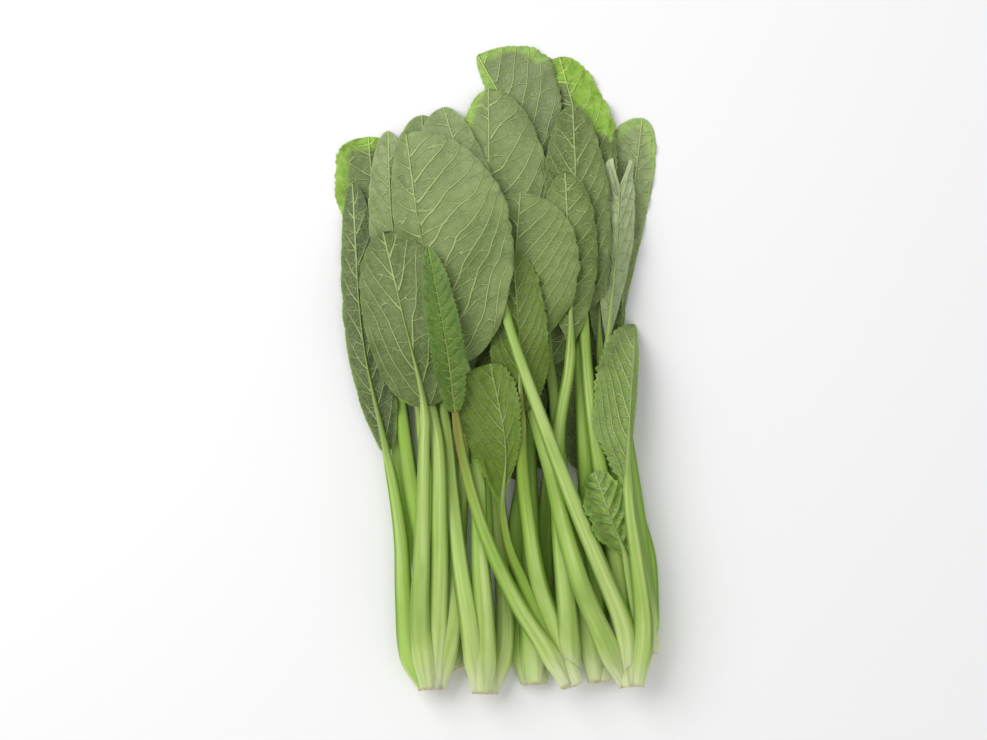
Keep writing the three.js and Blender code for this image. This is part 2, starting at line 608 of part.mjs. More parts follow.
for (const [index, entry] of leaves.entries()) {
  const leaf = planLeaf(entry, index);
  const others = Object.keys(plants).filter((name) => name !== leaf.plant);
  const below = spread([bladeMap, ...others.map((name) => plantMaps[name])]);
  if (!(leaf.plant in crownHeights)) layCrown(leaf.plant, below);
  const own = leaves.filter((other) => other.plant === leaf.plant);
  const order = own.length > 1 ? (2 * own.indexOf(entry)) / (own.length - 1) - 1 : 0;
  const ownPlant = spread([plantMaps[leaf.plant]]);
  const { heights, vertex, toBlade } = layLeaf(leaf, below, ownPlant, crownHeights[leaf.plant], order);
  const stalk = stalkMesh(leaf, heights);
  const blade = bladeMesh(leaf, heights, vertex, toBlade);
  raise(plantMaps[leaf.plant], stalk.points, stalk.triangles);
  raise(bladeMap, blade.points, blade.triangles);
  stalks[leaf.plant].push(stalk);
  blades.push({ leaf, mesh: blade });
}

// Everything under the plane that the bunch rests on
const ground = new THREE.BoxGeometry(...GROUND);
ground.translate(0, 0, -GROUND.z / 2);
const groundSolid = solidOf(weld(ground));

const bunch = new THREE.Group();
bunch.name = "choy_sum_bunch";

function addPiece(parent, name, solid, material) {
  const mesh = new THREE.Mesh(geometryOf(solid.subtract(groundSolid)), material);
  mesh.name = name;
  parent.add(mesh);
}

for (const name of Object.keys(plants)) {
  const plant = new THREE.Group();
  plant.name = `plant_${name}`;
  let solid = solidOf(crowns[name]);
  for (const stalk of stalks[name]) solid = solid.add(solidOf(stalk));
  addPiece(plant, `plant_${name}_stalks`, solid, stalkMaterial);
  for (const { leaf, mesh } of blades.filter((blade) => blade.leaf.plant === name)) {
    const material = leaf.upper ? upperMaterial : undersideMaterial;
    addPiece(plant, `plant_${name}_leaf_${leaf.no}`, solidOf(mesh), material);
  }
  bunch.add(plant);
}

export default bunch;
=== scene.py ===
import math
from types import SimpleNamespace

import bpy
import numpy as np
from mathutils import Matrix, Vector


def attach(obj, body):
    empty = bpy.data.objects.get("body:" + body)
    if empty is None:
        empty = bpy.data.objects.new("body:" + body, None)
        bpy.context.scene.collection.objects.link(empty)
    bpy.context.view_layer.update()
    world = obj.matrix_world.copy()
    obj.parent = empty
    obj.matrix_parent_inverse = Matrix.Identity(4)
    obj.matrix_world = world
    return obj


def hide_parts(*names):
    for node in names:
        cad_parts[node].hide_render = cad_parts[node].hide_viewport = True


# Choy sum bunch: fine blades with veins, ribbed stalks and cut bases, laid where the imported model
# has its plain ones. Lengths are in millimetres until a mesh is made.

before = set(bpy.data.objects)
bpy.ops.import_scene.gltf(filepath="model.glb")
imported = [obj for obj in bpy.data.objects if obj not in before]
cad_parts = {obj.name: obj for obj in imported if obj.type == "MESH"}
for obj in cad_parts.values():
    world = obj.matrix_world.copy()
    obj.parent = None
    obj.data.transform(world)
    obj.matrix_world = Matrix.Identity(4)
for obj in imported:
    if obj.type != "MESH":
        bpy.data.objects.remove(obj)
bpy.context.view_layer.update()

MM = 0.001

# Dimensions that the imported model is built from
PLAN_CENTRE = (0.08, 0.9)
BLADE_THICKNESS = 1.0
CLEARANCE = 0.35
STALK_HALF_WIDTH = (6.4, 2.5, 0.8)
STALK_HALF_HEIGHT = (3.4, 1.8, 0.6)
STALK_TAPER_POWER = 0.8
MIDRIB_END = 0.8
MIDRIB_FLAT = 0.55
CROWN_LENGTH = 24.0
CROWN_RADIUS = 7.0
CROWN_FLATTENING = 0.72
CROWN_SIDES = 10
CUT_TAPER = 0.64
CUT_TAPER_LENGTH = 18.0
LEAN_SHARE = 0.3
LEAN_MAX = 3.0
ROOTED_LENGTH = 14.0
ROOT_INSET = 0.5
STALK_STATIONS = 9
BLADE_ROWS = 12
ROW_CROWDING = 0.6
BLADE_COLUMNS = np.array([-1, -0.52, 0, 0.52, 1])
SERRATION = 0.03
OUTLINE_FULLNESS = 0.5
TIP_HALF_WIDTH = 1.5
STALK_SPREAD = 2.6

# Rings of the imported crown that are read, as radius and place along it in parts of the crown's, how
# many half heights apart two points of a stalk are its top and bottom, and what counts as not cut off
CROWN_WIDE_RINGS = ((1, 0.2), (0.95, 0.5), (0.84, 0))
BOTH_FLATS = 1.9
ABOVE_FLOOR = 0.01

# Plants: centre of the cut face in plan
PLANTS = {
    "a": (-32.5, -160), "b": (-6, -162), "c": (20, -158), "d": (38.5, -158),
    "e": (53, -157), "f": (68.5, -158), "g": (76.5, -143), "h": (-18, -150),
}


def leaf(plant, no, half, stalk, blade, **shape):
    """One leaf: its plant and number, the half widths of its blade and its points in plan."""
    plain = {"peak": (0.9, 0.9), "slim": 1.0, "upper": False}
    return SimpleNamespace(plant=plant, no=no, half=half, stalk=stalk, blade=blade, **{**plain, **shape})


# Leaves from the bottom of the bunch to the top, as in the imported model
LEAVES = [
    leaf("h", 1, (13, 18), [(-32.5, -120), (-44, -75), (-51, -35)], [(-54.5, -15), (-60, 30), (-65, 77.5)]),
    leaf("c", 1, (25, 25), [(7, -115), (-2, -70), (-1, -30)], [(0, -10), (-5, 55), (-12.5, 110)], slim=1.2),
    leaf("e", 2, (18, 14), [(51.5, -115), (52, -85)], [(51.5, -60), (51, 25), (58, 105)], slim=1.2),
    leaf("g", 4, (10, 5), [(77, -120), (76.5, -95), (72, -75), (67.5, -55)],
         [(66, -35), (65.5, -8), (65, 20)]),
    leaf("h", 3, (22, 22), [(-20, -110), (-20.5, -75)], [(-21, -50), (-22.5, 25), (-27.5, 95)], slim=1.2),
    leaf("c", 4, (22, 20), [(24, -115), (24.5, -75)], [(26, -50), (32, 30), (38.5, 115)], slim=1.2),
    leaf("g", 1, (15, 9), [(75, -115), (71, -75), (65, -30)],
         [(61, 0), (66, 60), (74, 128.5)], peak=(4, 3)),
    leaf("h", 4, (19.5, 18), [(-28.5, -115), (-41.5, -65), (-48, -20), (-52, 10)],
         [(-55, 25), (-61, 75), (-65, 119)], peak=(3.2, 1.7)),
    leaf("c", 2, (20, 15), [(16, -115), (10, -80)], [(12, -55), (12, 30), (16, 122)], slim=1.2),
    leaf("e", 4, (20, 18), [(47, -115), (43.5, -75)], [(44.5, -50), (46, 35), (52.5, 120)], slim=1.2),
    leaf("h", 2, (23, 23), [(-26.5, -110), (-33.5, -60), (-37.5, -30)],
         [(-39.5, -10), (-45, 40), (-53.5, 95)]),
    leaf("e", 1, (33, 16.5), [(48.5, -105), (44.5, -45), (42.5, 10)],
         [(46, 50), (45, 105), (32, 159.5)], peak=(2.6, 1.5)),
    leaf("c", 3, (5.5, 27.5), [(17.5, -95), (15.5, -25), (14.5, 30)],
         [(14, 58), (9, 122), (-9.5, 160.5)], peak=(1.2, 3)),
    leaf("e", 3, (18, 15), [(42.5, -110), (32.5, -50), (29, -15)], [(27, 3), (26, 40), (22, 80)]),
    leaf("g", 3, (5.5, 6.5), [(71, -110), (59, -55), (53.5, -10)],
         [(52, 15), (51.5, 48), (52.5, 80)], slim=0.8),
    leaf("g", 2, (10.5, 8.5), [(73.5, -110), (66, -65), (58.5, -15)],
         [(56, 12), (60.5, 65), (63, 107.5)], peak=(1.8, 1.8)),
    leaf("b", 3, (22, 31), [(3.5, -140), (4, -115), (1, -75)],
         [(-1.5, -42.5), (-3.5, 50), (-4, 143)], peak=(1, 1.5)),
    leaf("a", 1, (9, 13), [(-43.5, -142.5), (-46.5, -115), (-48, -85), (-51.5, -60)],
         [(-55.5, -40), (-67, 15), (-73, 95)]),
    leaf("f", 5, (17, 16), [(64.5, -120), (55.5, -70), (48.5, -27.5), (44.5, 10)],
         [(43.5, 30), (40.5, 85), (38.5, 135)]),
    leaf("a", 4, (24, 22), [(-21.5, -125), (-19, -85), (-16.5, -50)],
         [(-15.5, -30), (-17, 12), (-21.5, 55)]),
    leaf("d", 4, (13, 14.5), [(35.5, -120), (31.5, -75), (31, -30), (36, 0)],
         [(37, 15), (36, 60), (34.5, 100)], peak=(1.3, 1.3)),
    leaf("f", 2, (24, 32), [(54.5, -135), (42.5, -107.5), (34, -80), (26.5, -48.5), (15.5, -13.5)],
         [(9.5, 7.5), (9, 48), (12, 90)], peak=(1.1, 1.25)),
    leaf("d", 3, (14, 14.5), [(30.5, -133), (21.5, -107.5), (16, -75), (12.5, -42.5)],
         [(12, -20), (11, 20), (8, 60)]),
    leaf("b", 1, (24, 24), [(-13.5, -125), (-18.5, -93), (-22, -60), (-24.5, -32)],
         [(-26.5, -15), (-33, 60), (-38, 130)]),
    leaf("a", 3, (12, 11), [(-29, -115), (-28.5, -75), (-29.5, -35), (-36, -5)],
         [(-40, 15), (-52, 72), (-55, 122)]),
    leaf("f", 1, (26, 13), [(64, -129.5), (51.5, -97.5), (35.5, -58.5), (20, -17.5), (8.5, 15)],
         [(2, 37), (-12, 85), (-27, 134)], peak=(0.9, 1.2), slim=0.9),
    leaf("b", 2, (13, 45), [(-6, -125), (-8, -95), (-9, -55), (-10, -20)],
         [(-16, 4), (-36, 60), (-46, 121)], peak=(0.95, 1.15)),
    leaf("a", 2, (20, 26), [(-38, -127.5), (-37, -85), (-36, -40)], [(-36, -17.5), (-46.5, 28), (-57, 70)]),
    leaf("f", 4, (10, 11), [(69.5, -125), (65.5, -100)],
         [(64, -91), (57, -73), (49, -50)], peak=(1.1, 1.1), slim=0.7),
    leaf("f", 3, (18, 3), [(73.5, -130), (70, -95), (66.5, -70)],
         [(65.5, -54), (67, -15), (70, 24)], peak=(1.2, 1.5)),
    leaf("d", 2, (21, 9.5), [(25, -135), (12.5, -104), (6, -87.5)],
         [(3, -69), (4.5, -38), (-3, 4)], peak=(1.9, 2.6), slim=0.8),
    leaf("d", 1, (7.5, 8), [(25.5, -140), (10, -115), (-6, -80), (-15.5, -47.5)],
         [(-20.5, -20), (-25, 15), (-34, 62)], slim=0.85, upper=True),
]

# Looks of single leaves. grid is the spacing of the blade's points, pitch the spacing of its side
# veins along the midrib, bold how broad they are, slant how steeply they leave it and wander how
# unevenly they run. teeth is how deep its margin is cut, tooth how long each cut is, scallop its
# swelling between the ends of the side veins, ragged how uneven its outline is and notch how deep
# its tip is cut in. ruffle is the wave of its margin, waves its wide swells and bumps those between
# veins. fresh is how yellow and bright it is, rim how wide a band of painted glow, as of light
# coming through a single sheet, runs along its margin where nothing lies under it, and rim_from
# where along the blade that band starts. olive is how brown it is, grey how dull, tone how pale and
# tip how much paler near its tip. red is how brown its stalk is, pith how pale it is and lit how
# much painted glow, as of light coming through it, its stalk has.
PLAIN_LOOK = dict(grid=1.25, pitch=12.0, bold=1.1, slant=0.78, teeth=0.3, tooth=3.4, scallop=0.7,
                  ragged=1.0, notch=0.0, ruffle=0.9, waves=0.9, bumps=0.5, fresh=0.0, rim=0.0,
                  rim_from=0.35, wander=1.0, tip=0.5, olive=0.0, grey=0.0, tone=0.4, red=0.0, pith=0.4,
                  lit=0.1)


def look(**changes):
    """A plain look with some of its values changed."""
    return {**PLAIN_LOOK, **changes}


LOOKS = {
    "b2": look(grid=0.75, pitch=12.5, bold=1.35, slant=0.8, ruffle=1.0, tone=0.8, waves=1.3, wander=1.3,
               tip=1.6, olive=0.3, pith=0.7),
    "a2": look(grid=0.8, pitch=21.0, slant=2.3, ruffle=1.2, olive=0.3, grey=0.55, tone=0.0, pith=1.0),
    "f1": look(grid=0.9, pitch=12.5, tone=1.4, wander=1.3, tip=0.7, pith=0.9),
    "f2": look(grid=0.75, pitch=10.5, slant=1.1, olive=0.6, tone=0.5, tip=1.2, waves=1.3, fresh=0.04,
               pith=0.5),
    "b1": look(grid=0.95, pitch=13.0, tone=0.8, pith=0.7),
    "b3": look(grid=0.9, rim=3.5, pitch=15.0, bold=1.3, slant=0.9, tone=0.9, pith=0.5),
    "a3": look(grid=0.9, pitch=11.0, slant=1.2, ruffle=1.4, tone=1.4, tip=1.0, pith=0.7),
    "a1": look(grid=0.8, pitch=15.0, bold=1.0, slant=1.6, ruffle=1.9, waves=2.4, grey=1.0, tone=0.0,
               ragged=2.0, pith=0.9, lit=0.45),
    "d1": look(grid=0.5, pitch=6.5, bold=0.9, slant=0.8, teeth=1.6, tooth=2.6, scallop=0.3, ragged=2.8,
               bumps=0.45, wander=1.6, red=0.9, tone=0.25, tip=3.0, olive=0.3, fresh=0.05, pith=0.3),
    "d2": look(grid=0.6, pitch=10.5, bold=0.9, slant=1.5, teeth=1.7, tooth=2.8, ragged=3.2, olive=1.8,
               tone=0.0, waves=1.6, wander=1.5, fresh=0.22, red=0.4, pith=0.0),
    "d3": look(grid=0.7, pitch=9.0, bold=0.9, slant=1.4, teeth=1.2, tooth=2.8, ragged=2.4, olive=1.3,
               fresh=0.12, tone=0.0, red=0.5, pith=0.0),
    "d4": look(grid=0.85, pitch=10.0, olive=0.3, tone=0.2, pith=0.2),
    "f3": look(grid=0.6, pitch=11.0, bold=1.4, slant=1.8, teeth=2.0, ragged=3.0, waves=2.0, bumps=0.7,
               fresh=0.45, tone=0.7, pith=0.8),
    "f4": look(grid=0.5, pitch=7.0, teeth=1.2, ragged=4.0, ruffle=3.0, waves=3.0, bumps=2.0, wander=3.0,
               fresh=0.85, tone=0.6, pith=0.6),
    "f5": look(grid=0.9, slant=1.0, olive=0.3, grey=0.4, tone=0.1),
    "g1": look(grid=0.9, ruffle=1.4, rim=11.0, rim_from=0.72, tone=2.0, pith=0.5, lit=0.8),
    "g2": look(grid=0.7, pitch=14.0, slant=2.5, tone=4.3, tip=0.7, notch=13.0, pith=0.7),
    "g3": look(grid=0.7, pitch=9.0, tone=1.4),
    "g4": look(tone=0.2, lit=0.8),
    "a4": look(grid=0.95, pitch=10.0, teeth=0.8, olive=0.9, tone=0.0, pith=0.6),
    "c1": look(lit=0.5),
    "c2": look(grey=0.4, olive=0.3, tone=0.2, lit=0.5),
    "c3": look(grid=0.8, grey=0.55, ruffle=1.4, teeth=1.2, ragged=3.4, waves=1.6, rim=6.0, tone=1.2,
               lit=0.4),
    "c4": look(lit=0.4),
    "e1": look(grid=0.8, ruffle=1.2, teeth=1.0, ragged=2.8, rim=14.0, grey=0.4, tone=0.2, lit=0.3),
    "e2": look(lit=0.6),
    "e3": look(pith=0.6, lit=0.2),
    "e4": look(lit=0.5),
    "h1": look(lit=0.4),
    "h2": look(lit=0.4),
    "h3": look(lit=0.4),
    "h4": look(grid=0.85, ruffle=1.6, teeth=1.0, ragged=3.0, rim=5.5, grey=0.5, lit=0.45),
}

# Fine form of the blades and stalks
SHEET_THICKNESS = 0.5
MARGIN_THICKNESS = 0.3
MARGIN_REACH = 2.5  # the sheet thins over this width
LAYER_GAP = 0.12
LIFT_SPREAD = 14  # steps of the grid over which a lift falls off
LEAST_HEIGHT = 0.02
LEAST_HALF_WIDTH = 0.3
CROSS_VEIN_SHARE = 0.52  # spacing of the cross veins in parts of the side veins'
VEIN_HALF_WIDTH = 0.36
VEIN_GROWTH = 0.008  # half width added for each millimetre of the blade's
VEIN_RISE = 0.3
MIDRIB_RISE = 0.85
MIDRIB_REACH = 2.4
MIDRIB_TIP = 0.97
RUFFLE_LENGTH = 17
NOTCH_OPENING = 0.28
RIM_REACH = 0.4
TUBE_STEP = 2.0
TUBE_SIDES = 24
CROWN_SHARE = 0.86
CROWN_POINTS = 36

# Radius of each ring round a crown in parts of its widest, and its distance from the cut
CROWN_PROFILE = (
    (0.5, 0.35), (0.78, 0.1), (0.88, 0.5), (0.95, 1.6), (1.0, 4.8),
    (0.98, 9), (0.93, 12), (0.78, 17), (0.5, 21),
)

# Studio in metres and watts: place, size and power of each light, and the camera above the bunch
LIGHTS = {"key": ((-0.85, 0.65, 1.1), 1.3, 18.5), "fill": ((0.9, -0.7, 1.4), 1.6, 4.0)}
WORLD_STRENGTH = 0.5
CAMERA_PLACE = (-0.0016, -0.00015, 1.391)
CAMERA_LENS = 100
CAMERA_SENSOR = 36
FLOOR_SIZE = 6
FLOOR_DROP = 0.0002


def smooth(x, low, high):
    """Rises smoothly from 0 at low to 1 at high."""
    t = np.clip((np.asarray(x, float) - low) / (high - low), 0, 1)
    return t * t * (3 - 2 * t)


def lerp(a, b, t):
    return a + (b - a) * t


def glide(x, y, at):
    """Smooth curve through the values y at the places x, read at the places at."""
    slope = np.gradient(y, x, axis=0)
    i = np.clip(np.searchsorted(x, at, side="right") - 1, 0, len(x) - 2)
    gap = x[i + 1] - x[i]
    t = (at - x[i]) / gap
    if y.ndim == 2:
        gap = gap[:, None]
        t = t[:, None]
    t2 = t * t
    t3 = t2 * t
    start = (2 * t3 - 3 * t2 + 1) * y[i] + (t3 - 2 * t2 + t) * gap * slope[i]
    end = (3 * t2 - 2 * t3) * y[i + 1] + (t3 - t2) * gap * slope[i + 1]
    return start + end


class Noise:
    """Smooth noise between -1 and 1 on a square lattice, the same on every run."""

    SIZE = 64

    def __init__(self, seed):
        self.values = np.random.default_rng(seed).uniform(-1, 1, (self.SIZE, self.SIZE))

    def __call__(self, x, y):
        x, y = np.broadcast_arrays(np.asarray(x, float), np.asarray(y, float))
        i = np.floor(x).astype(int)
        j = np.floor(y).astype(int)
        fx = smooth(x - i, 0, 1)
        fy = smooth(y - j, 0, 1)
        after_i = (i + 1) % self.SIZE
        after_j = (j + 1) % self.SIZE
        i = i % self.SIZE
        j = j % self.SIZE
        low = lerp(self.values[i, j], self.values[after_i, j], fx)
        high = lerp(self.values[i, after_j], self.values[after_i, after_j], fx)
        return lerp(low, high, fy)


class Spine:
    """Centripetal Catmull-Rom curve through points in plan, read by its length."""

    DIVISIONS = 400

    def __init__(self, points):
        points = np.array(points, float)
        before = 2 * points[0] - points[1]
        after = 2 * points[-1] - points[-2]
        self.points = np.vstack([before, points, after])
        self.steps = np.linspace(0, 1, self.DIVISIONS + 1)
        gaps = np.linalg.norm(np.diff(self.place(self.steps), axis=0), axis=1)
        self.lengths = np.concatenate([[0], np.cumsum(gaps)])
        self.total = self.lengths[-1]

    def place(self, t):
        p = self.points
        spans = len(p) - 3
        i = np.minimum((t * spans).astype(int), spans - 1)
        w = (t * spans - i)[:, None]
        p0, p1, p2, p3 = p[i], p[i + 1], p[i + 2], p[i + 3]
        pairs = ((p0, p1), (p1, p2), (p2, p3))
        d0, d1, d2 = (np.linalg.norm(b - a, axis=1)[:, None] ** 0.5 for a, b in pairs)
        t1 = ((p1 - p0) / d0 - (p2 - p0) / (d0 + d1) + (p2 - p1) / d1) * d1
        t2 = ((p2 - p1) / d1 - (p3 - p1) / (d1 + d2) + (p3 - p2) / d2) * d1
        return p1 + t1 * w + (3 * (p2 - p1) - 2 * t1 - t2) * w**2 + (2 * (p1 - p2) + t1 + t2) * w**3

    def at(self, length):
        """Places and sideways directions (to the right) at lengths along the curve."""
        t = np.interp(length, self.lengths, self.steps)
        place = self.place(t)
        way = self.place(np.minimum(t + 1e-4, 1)) - self.place(np.maximum(t - 1e-4, 0))
        way /= np.linalg.norm(way, axis=1)[:, None]
        return place, np.stack([way[:, 1], -way[:, 0]], axis=1)


def outline(one, u, side):
    """Half width of a blade on side 0 or 1 in parts of its widest, from the stalk (0) to the tip (1)."""
    x = np.clip(u, 0, 1) ** one.peak[side]
    return (4 * x * (1 - x)) ** OUTLINE_FULLNESS


def stalk_size(one, length, along, u):
    """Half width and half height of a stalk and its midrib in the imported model."""
    taper = lerp(CUT_TAPER, 1, smooth(length, 0, CUT_TAPER_LENGTH))
    sizes = []
    for base, blade, tip in (STALK_HALF_WIDTH, STALK_HALF_HEIGHT):
        in_stalk = lerp(base, blade, np.clip(along, 0, 1) ** STALK_TAPER_POWER) * taper
        in_blade = lerp(blade, tip, np.clip(u, 0, 1) / MIDRIB_END)
        sizes.append(np.where(u > 0, in_blade, in_stalk) * one.slim)
    return sizes


def plan(one):
    """Adds a leaf's curve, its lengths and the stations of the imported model."""
    cut = np.array(PLANTS[one.plant], float)
    lean = np.clip((one.stalk[0][0] - cut[0]) * LEAN_SHARE, -LEAN_MAX, LEAN_MAX)
    points = np.array([(cut[0] + lean, cut[1] + ROOT_INSET), *one.stalk, *one.blade]) - PLAN_CENTRE
    one.spine = Spine(points)
    base = (len(points) - len(one.blade)) / (len(points) - 1)
    one.base_length = one.spine.lengths[round(base * Spine.DIVISIONS)]
    one.blade_length = one.spine.total - one.base_length
    even = np.arange(BLADE_ROWS) / (BLADE_ROWS - 1)
    one.row_u = lerp(even, 0.5 - 0.5 * np.cos(np.pi * even), ROW_CROWDING)
    along = np.arange(STALK_STATIONS) / STALK_STATIONS
    in_blade = lerp(one.base_length, one.spine.total, one.row_u)
    one.station_length = np.concatenate([along * one.base_length, in_blade])
    one.station_along = along


def node_points(name):
    """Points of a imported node, in millimetres."""
    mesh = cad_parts[name].data
    points = np.empty(len(mesh.vertices) * 3)
    mesh.vertices.foreach_get("co", points)
    return points.reshape(-1, 3) / MM


def heights_at(points, place, reach=0.06):
    """Heights of the node's points that stand within reach of a place in plan."""
    return points[np.hypot(points[:, 0] - place[0], points[:, 1] - place[1]) < reach, 2]


def leaves_of(plant):
    return [one for one in LEAVES if one.plant == plant]


def crown_axes(plant):
    """Middle of a crown's cut face in plan, with its directions forward and to the right."""
    cut = np.array(PLANTS[plant], float)
    mean = np.mean([one.stalk[0] for one in leaves_of(plant)], axis=0) - cut
    way = mean / np.hypot(*mean)
    return cut, way, np.array([way[1], -way[0]])


def read_crown(plant, points):
    """Height of a crown's axis, from the points of its widest ring."""
    cut, way, side = crown_axes(plant)
    found = []
    for radius, share in CROWN_WIDE_RINGS:
        for k in range(CROWN_SIDES):
            angle = (k + 0.5) * 2 * math.pi / CROWN_SIDES
            across = CROWN_RADIUS * radius * math.sin(angle)
            rise = CROWN_RADIUS * radius * CROWN_FLATTENING * math.cos(angle)
            place = cut + side * across + way * share * CROWN_LENGTH - PLAN_CENTRE
            found += [z - abs(rise) for z in heights_at(points, place) if rise > 0 and z > ABOVE_FLOOR]
    values, counts = np.unique(np.round(found, 1), return_counts=True)
    return float(values[np.argmax(counts)])


def read_blade(one):
    """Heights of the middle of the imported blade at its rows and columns."""
    points = node_points(f"plant_{one.plant}_leaf_{one.no}")
    lengths = one.station_length[STALK_STATIONS:]
    place, side = one.spine.at(lengths)
    width, height = stalk_size(one, lengths, np.ones(BLADE_ROWS), one.row_u)
    one.rows = np.empty((BLADE_ROWS, len(BLADE_COLUMNS)))
    for row in range(BLADE_ROWS):
        cut = 1 + SERRATION if row % 2 else 1 - SERRATION
        least = width[0] * 1.1 if row == 0 else TIP_HALF_WIDTH
        for column, v in enumerate(BLADE_COLUMNS):
            half = max(one.half[int(v > 0)] * outline(one, one.row_u[row], int(v > 0)) * cut, least)
            found = heights_at(points, place[row] + side[row] * v * half)
            one.rows[row, column] = max(found) - BLADE_THICKNESS / 2 if len(found) else np.nan
    for column in range(len(BLADE_COLUMNS)):
        known = ~np.isnan(one.rows[:, column])
        one.rows[:, column] = np.interp(one.row_u, one.row_u[known], one.rows[known, column])
    away = BLADE_THICKNESS / 2 + CLEARANCE + height
    one.spine_z = one.rows[:, 2] + away * (-1 if one.upper else 1)


def read_stalk(one, points, crown_height, order):
    """Heights of the stalk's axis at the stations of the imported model."""
    lengths = one.station_length[:STALK_STATIONS]
    place, side = one.spine.at(lengths)
    width, height = stalk_size(one, lengths, one.station_along, np.full(STALK_STATIONS, -1.0))
    z = np.full(STALK_STATIONS, np.nan)
    unsure = {}
    for i in range(STALK_STATIONS):
        if lengths[i] <= ROOTED_LENGTH:
            z[i] = crown_height + order * STALK_SPREAD
            continue
        level = [h for s in (-1, 1) for h in heights_at(points, place[i] + side[i] * s * width[i])]
        if level:
            z[i] = np.median(level)
            continue
        near = MIDRIB_FLAT * width[i]
        flats = [h for s in (-1, 1) for h in heights_at(points, place[i] + side[i] * s * near)]
        if flats and max(flats) - min(flats) > BOTH_FLATS * height[i]:
            z[i] = (max(flats) + min(flats)) / 2
        elif flats:
            unsure[i] = (flats[0] - height[i], flats[0] + height[i])
    lengths = one.station_length
    z = np.concatenate([z, one.spine_z])
    for i, choices in unsure.items():
        known = ~np.isnan(z)
        guess = np.interp(lengths[i], lengths[known], z[known])
        z[i] = min(choices, key=lambda value: abs(value - guess))
    known = ~np.isnan(z)
    one.spine_z = np.interp(lengths, lengths[known], z[known])


def read_model():
    """Fills in every leaf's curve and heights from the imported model."""
    crowns = {}
    for plant in PLANTS:
        points = node_points(f"plant_{plant}_stalks")
        crowns[plant] = read_crown(plant, points)
        own = leaves_of(plant)
        for order, one in enumerate(own):
            plan(one)
            read_blade(one)
            read_stalk(one, points, crowns[plant], 2 * order / (len(own) - 1) - 1)
    return crowns


class Layers:
    """Height of everything laid so far, on a square grid in plan."""

    CELL = 0.5
    HALF_X, HALF_Y = 92.0, 172.0

    def __init__(self):
        self.shape = (int(2 * self.HALF_X / self.CELL) + 1, int(2 * self.HALF_Y / self.CELL) + 1)
        self.top = np.full(self.shape, -10.0)
        self.sheets = np.zeros(self.shape)

    def cell(self, x, y):
        i = np.clip(np.round((x + self.HALF_X) / self.CELL).astype(int), 1, self.shape[0] - 2)
        j = np.clip(np.round((y + self.HALF_Y) / self.CELL).astype(int), 1, self.shape[1] - 2)
        return i, j

    def under(self, points):
        """Highest point within a cell of each point."""
        i, j = self.cell(points[..., 0], points[..., 1])
        around = [self.top[i + di, j + dj] for di in (-1, 0, 1) for dj in (-1, 0, 1)]
        return np.max(around, axis=0)

    def lay(self, grid, sheet=False):
        """Raises the map to a grid of points, filled in between rows and columns."""
        for _ in range(2):
            rows = np.empty((2 * grid.shape[0] - 1, grid.shape[1], 3))
            rows[::2] = grid
            rows[1::2] = (grid[1:] + grid[:-1]) / 2
            grid = np.empty((rows.shape[0], 2 * rows.shape[1] - 1, 3))
            grid[:, ::2] = rows
            grid[:, 1::2] = (rows[:, 1:] + rows[:, :-1]) / 2
        i, j = self.cell(grid[..., 0], grid[..., 1])
        np.maximum.at(self.top, (i, j), grid[..., 2])
        if sheet:
            covered = np.zeros(self.shape, bool)
            covered[i, j] = True
            self.sheets += covered


def spread_out(values, times):
    """Widens the rises in a grid of values so that they fall off gently."""
    for _ in range(times):
        padded = np.pad(values, 1, mode="edge")
        near = (padded[:-2, 1:-1] + padded[2:, 1:-1] + padded[1:-1, :-2] + padded[1:-1, 2:]) / 4
        values = np.maximum(values, near)
    return values


def vein_field(one, s, t):
    """Number of side veins and of cross veins passed at a place on the blade."""
    pitch = one.look["pitch"]
    widest = np.where(t > 0, one.half[1], one.half[0])
    forward = np.abs(t) * one.look["slant"] * (0.85 + 0.75 * np.abs(t) / np.maximum(widest, 12))
    wander = one.noise(s / 24 + 7, t / 16 + 3) * 0.3 + one.noise(s / 8 + 31, t / 8) * 0.07
    wander *= one.look["wander"]
    side = (s - forward) / pitch + wander + np.where(t > 0, 0.5, 0.0)
    bend = one.noise(s / 14 + 17, t / 14 + 5) * 0.35
    cross = (s - 0.35 * np.abs(t)) / (CROSS_VEIN_SHARE * pitch) + bend
    return side, cross


def vein_steepness(one, s, t):
    """How many side veins and cross veins are passed in each millimetre, at most."""
    step = 0.3
    outward = np.where(t > 0, step, -step)
    here = vein_field(one, s, t)
    ahead = vein_field(one, s + step, t)
    beside = vein_field(one, s, t + outward)
    return [np.hypot(a - h, b - h) / step for h, a, b in zip(here, ahead, beside)]


def blade_side(one, u, s, least, side):
    """Half width of a blade on side 0 or 1, and how far its teeth stand out."""
    half = one.half[side] * outline(one, u, side)
    uneven = 0.04 * one.noise(u * 6 + 11 * side, 5.5) + 0.02 * one.noise(u * 22 + 3 * side, 9.5)
    half *= 1 + one.look["ragged"] * uneven
    half = np.sqrt(half**2 + least**2 + LEAST_HALF_WIDTH**2)
    ends, _ = vein_field(one, s, half * (1 if side else -1))
    swell = np.abs(np.sin(np.pi * ends)) ** 0.7 - 0.6
    half = half + one.look["scallop"] * swell * smooth(half, 3, 12)
    run = np.cumsum(np.hypot(np.gradient(s), np.gradient(half)))
    turn = run / one.look["tooth"] + 0.35 * one.noise(run / 9, 2.5 + side)
    tooth = (turn % 1) ** 0.8 * (1 - smooth(turn % 1, 0.75, 1))
    return half, tooth * one.look["teeth"] * smooth(half, 2, 6)


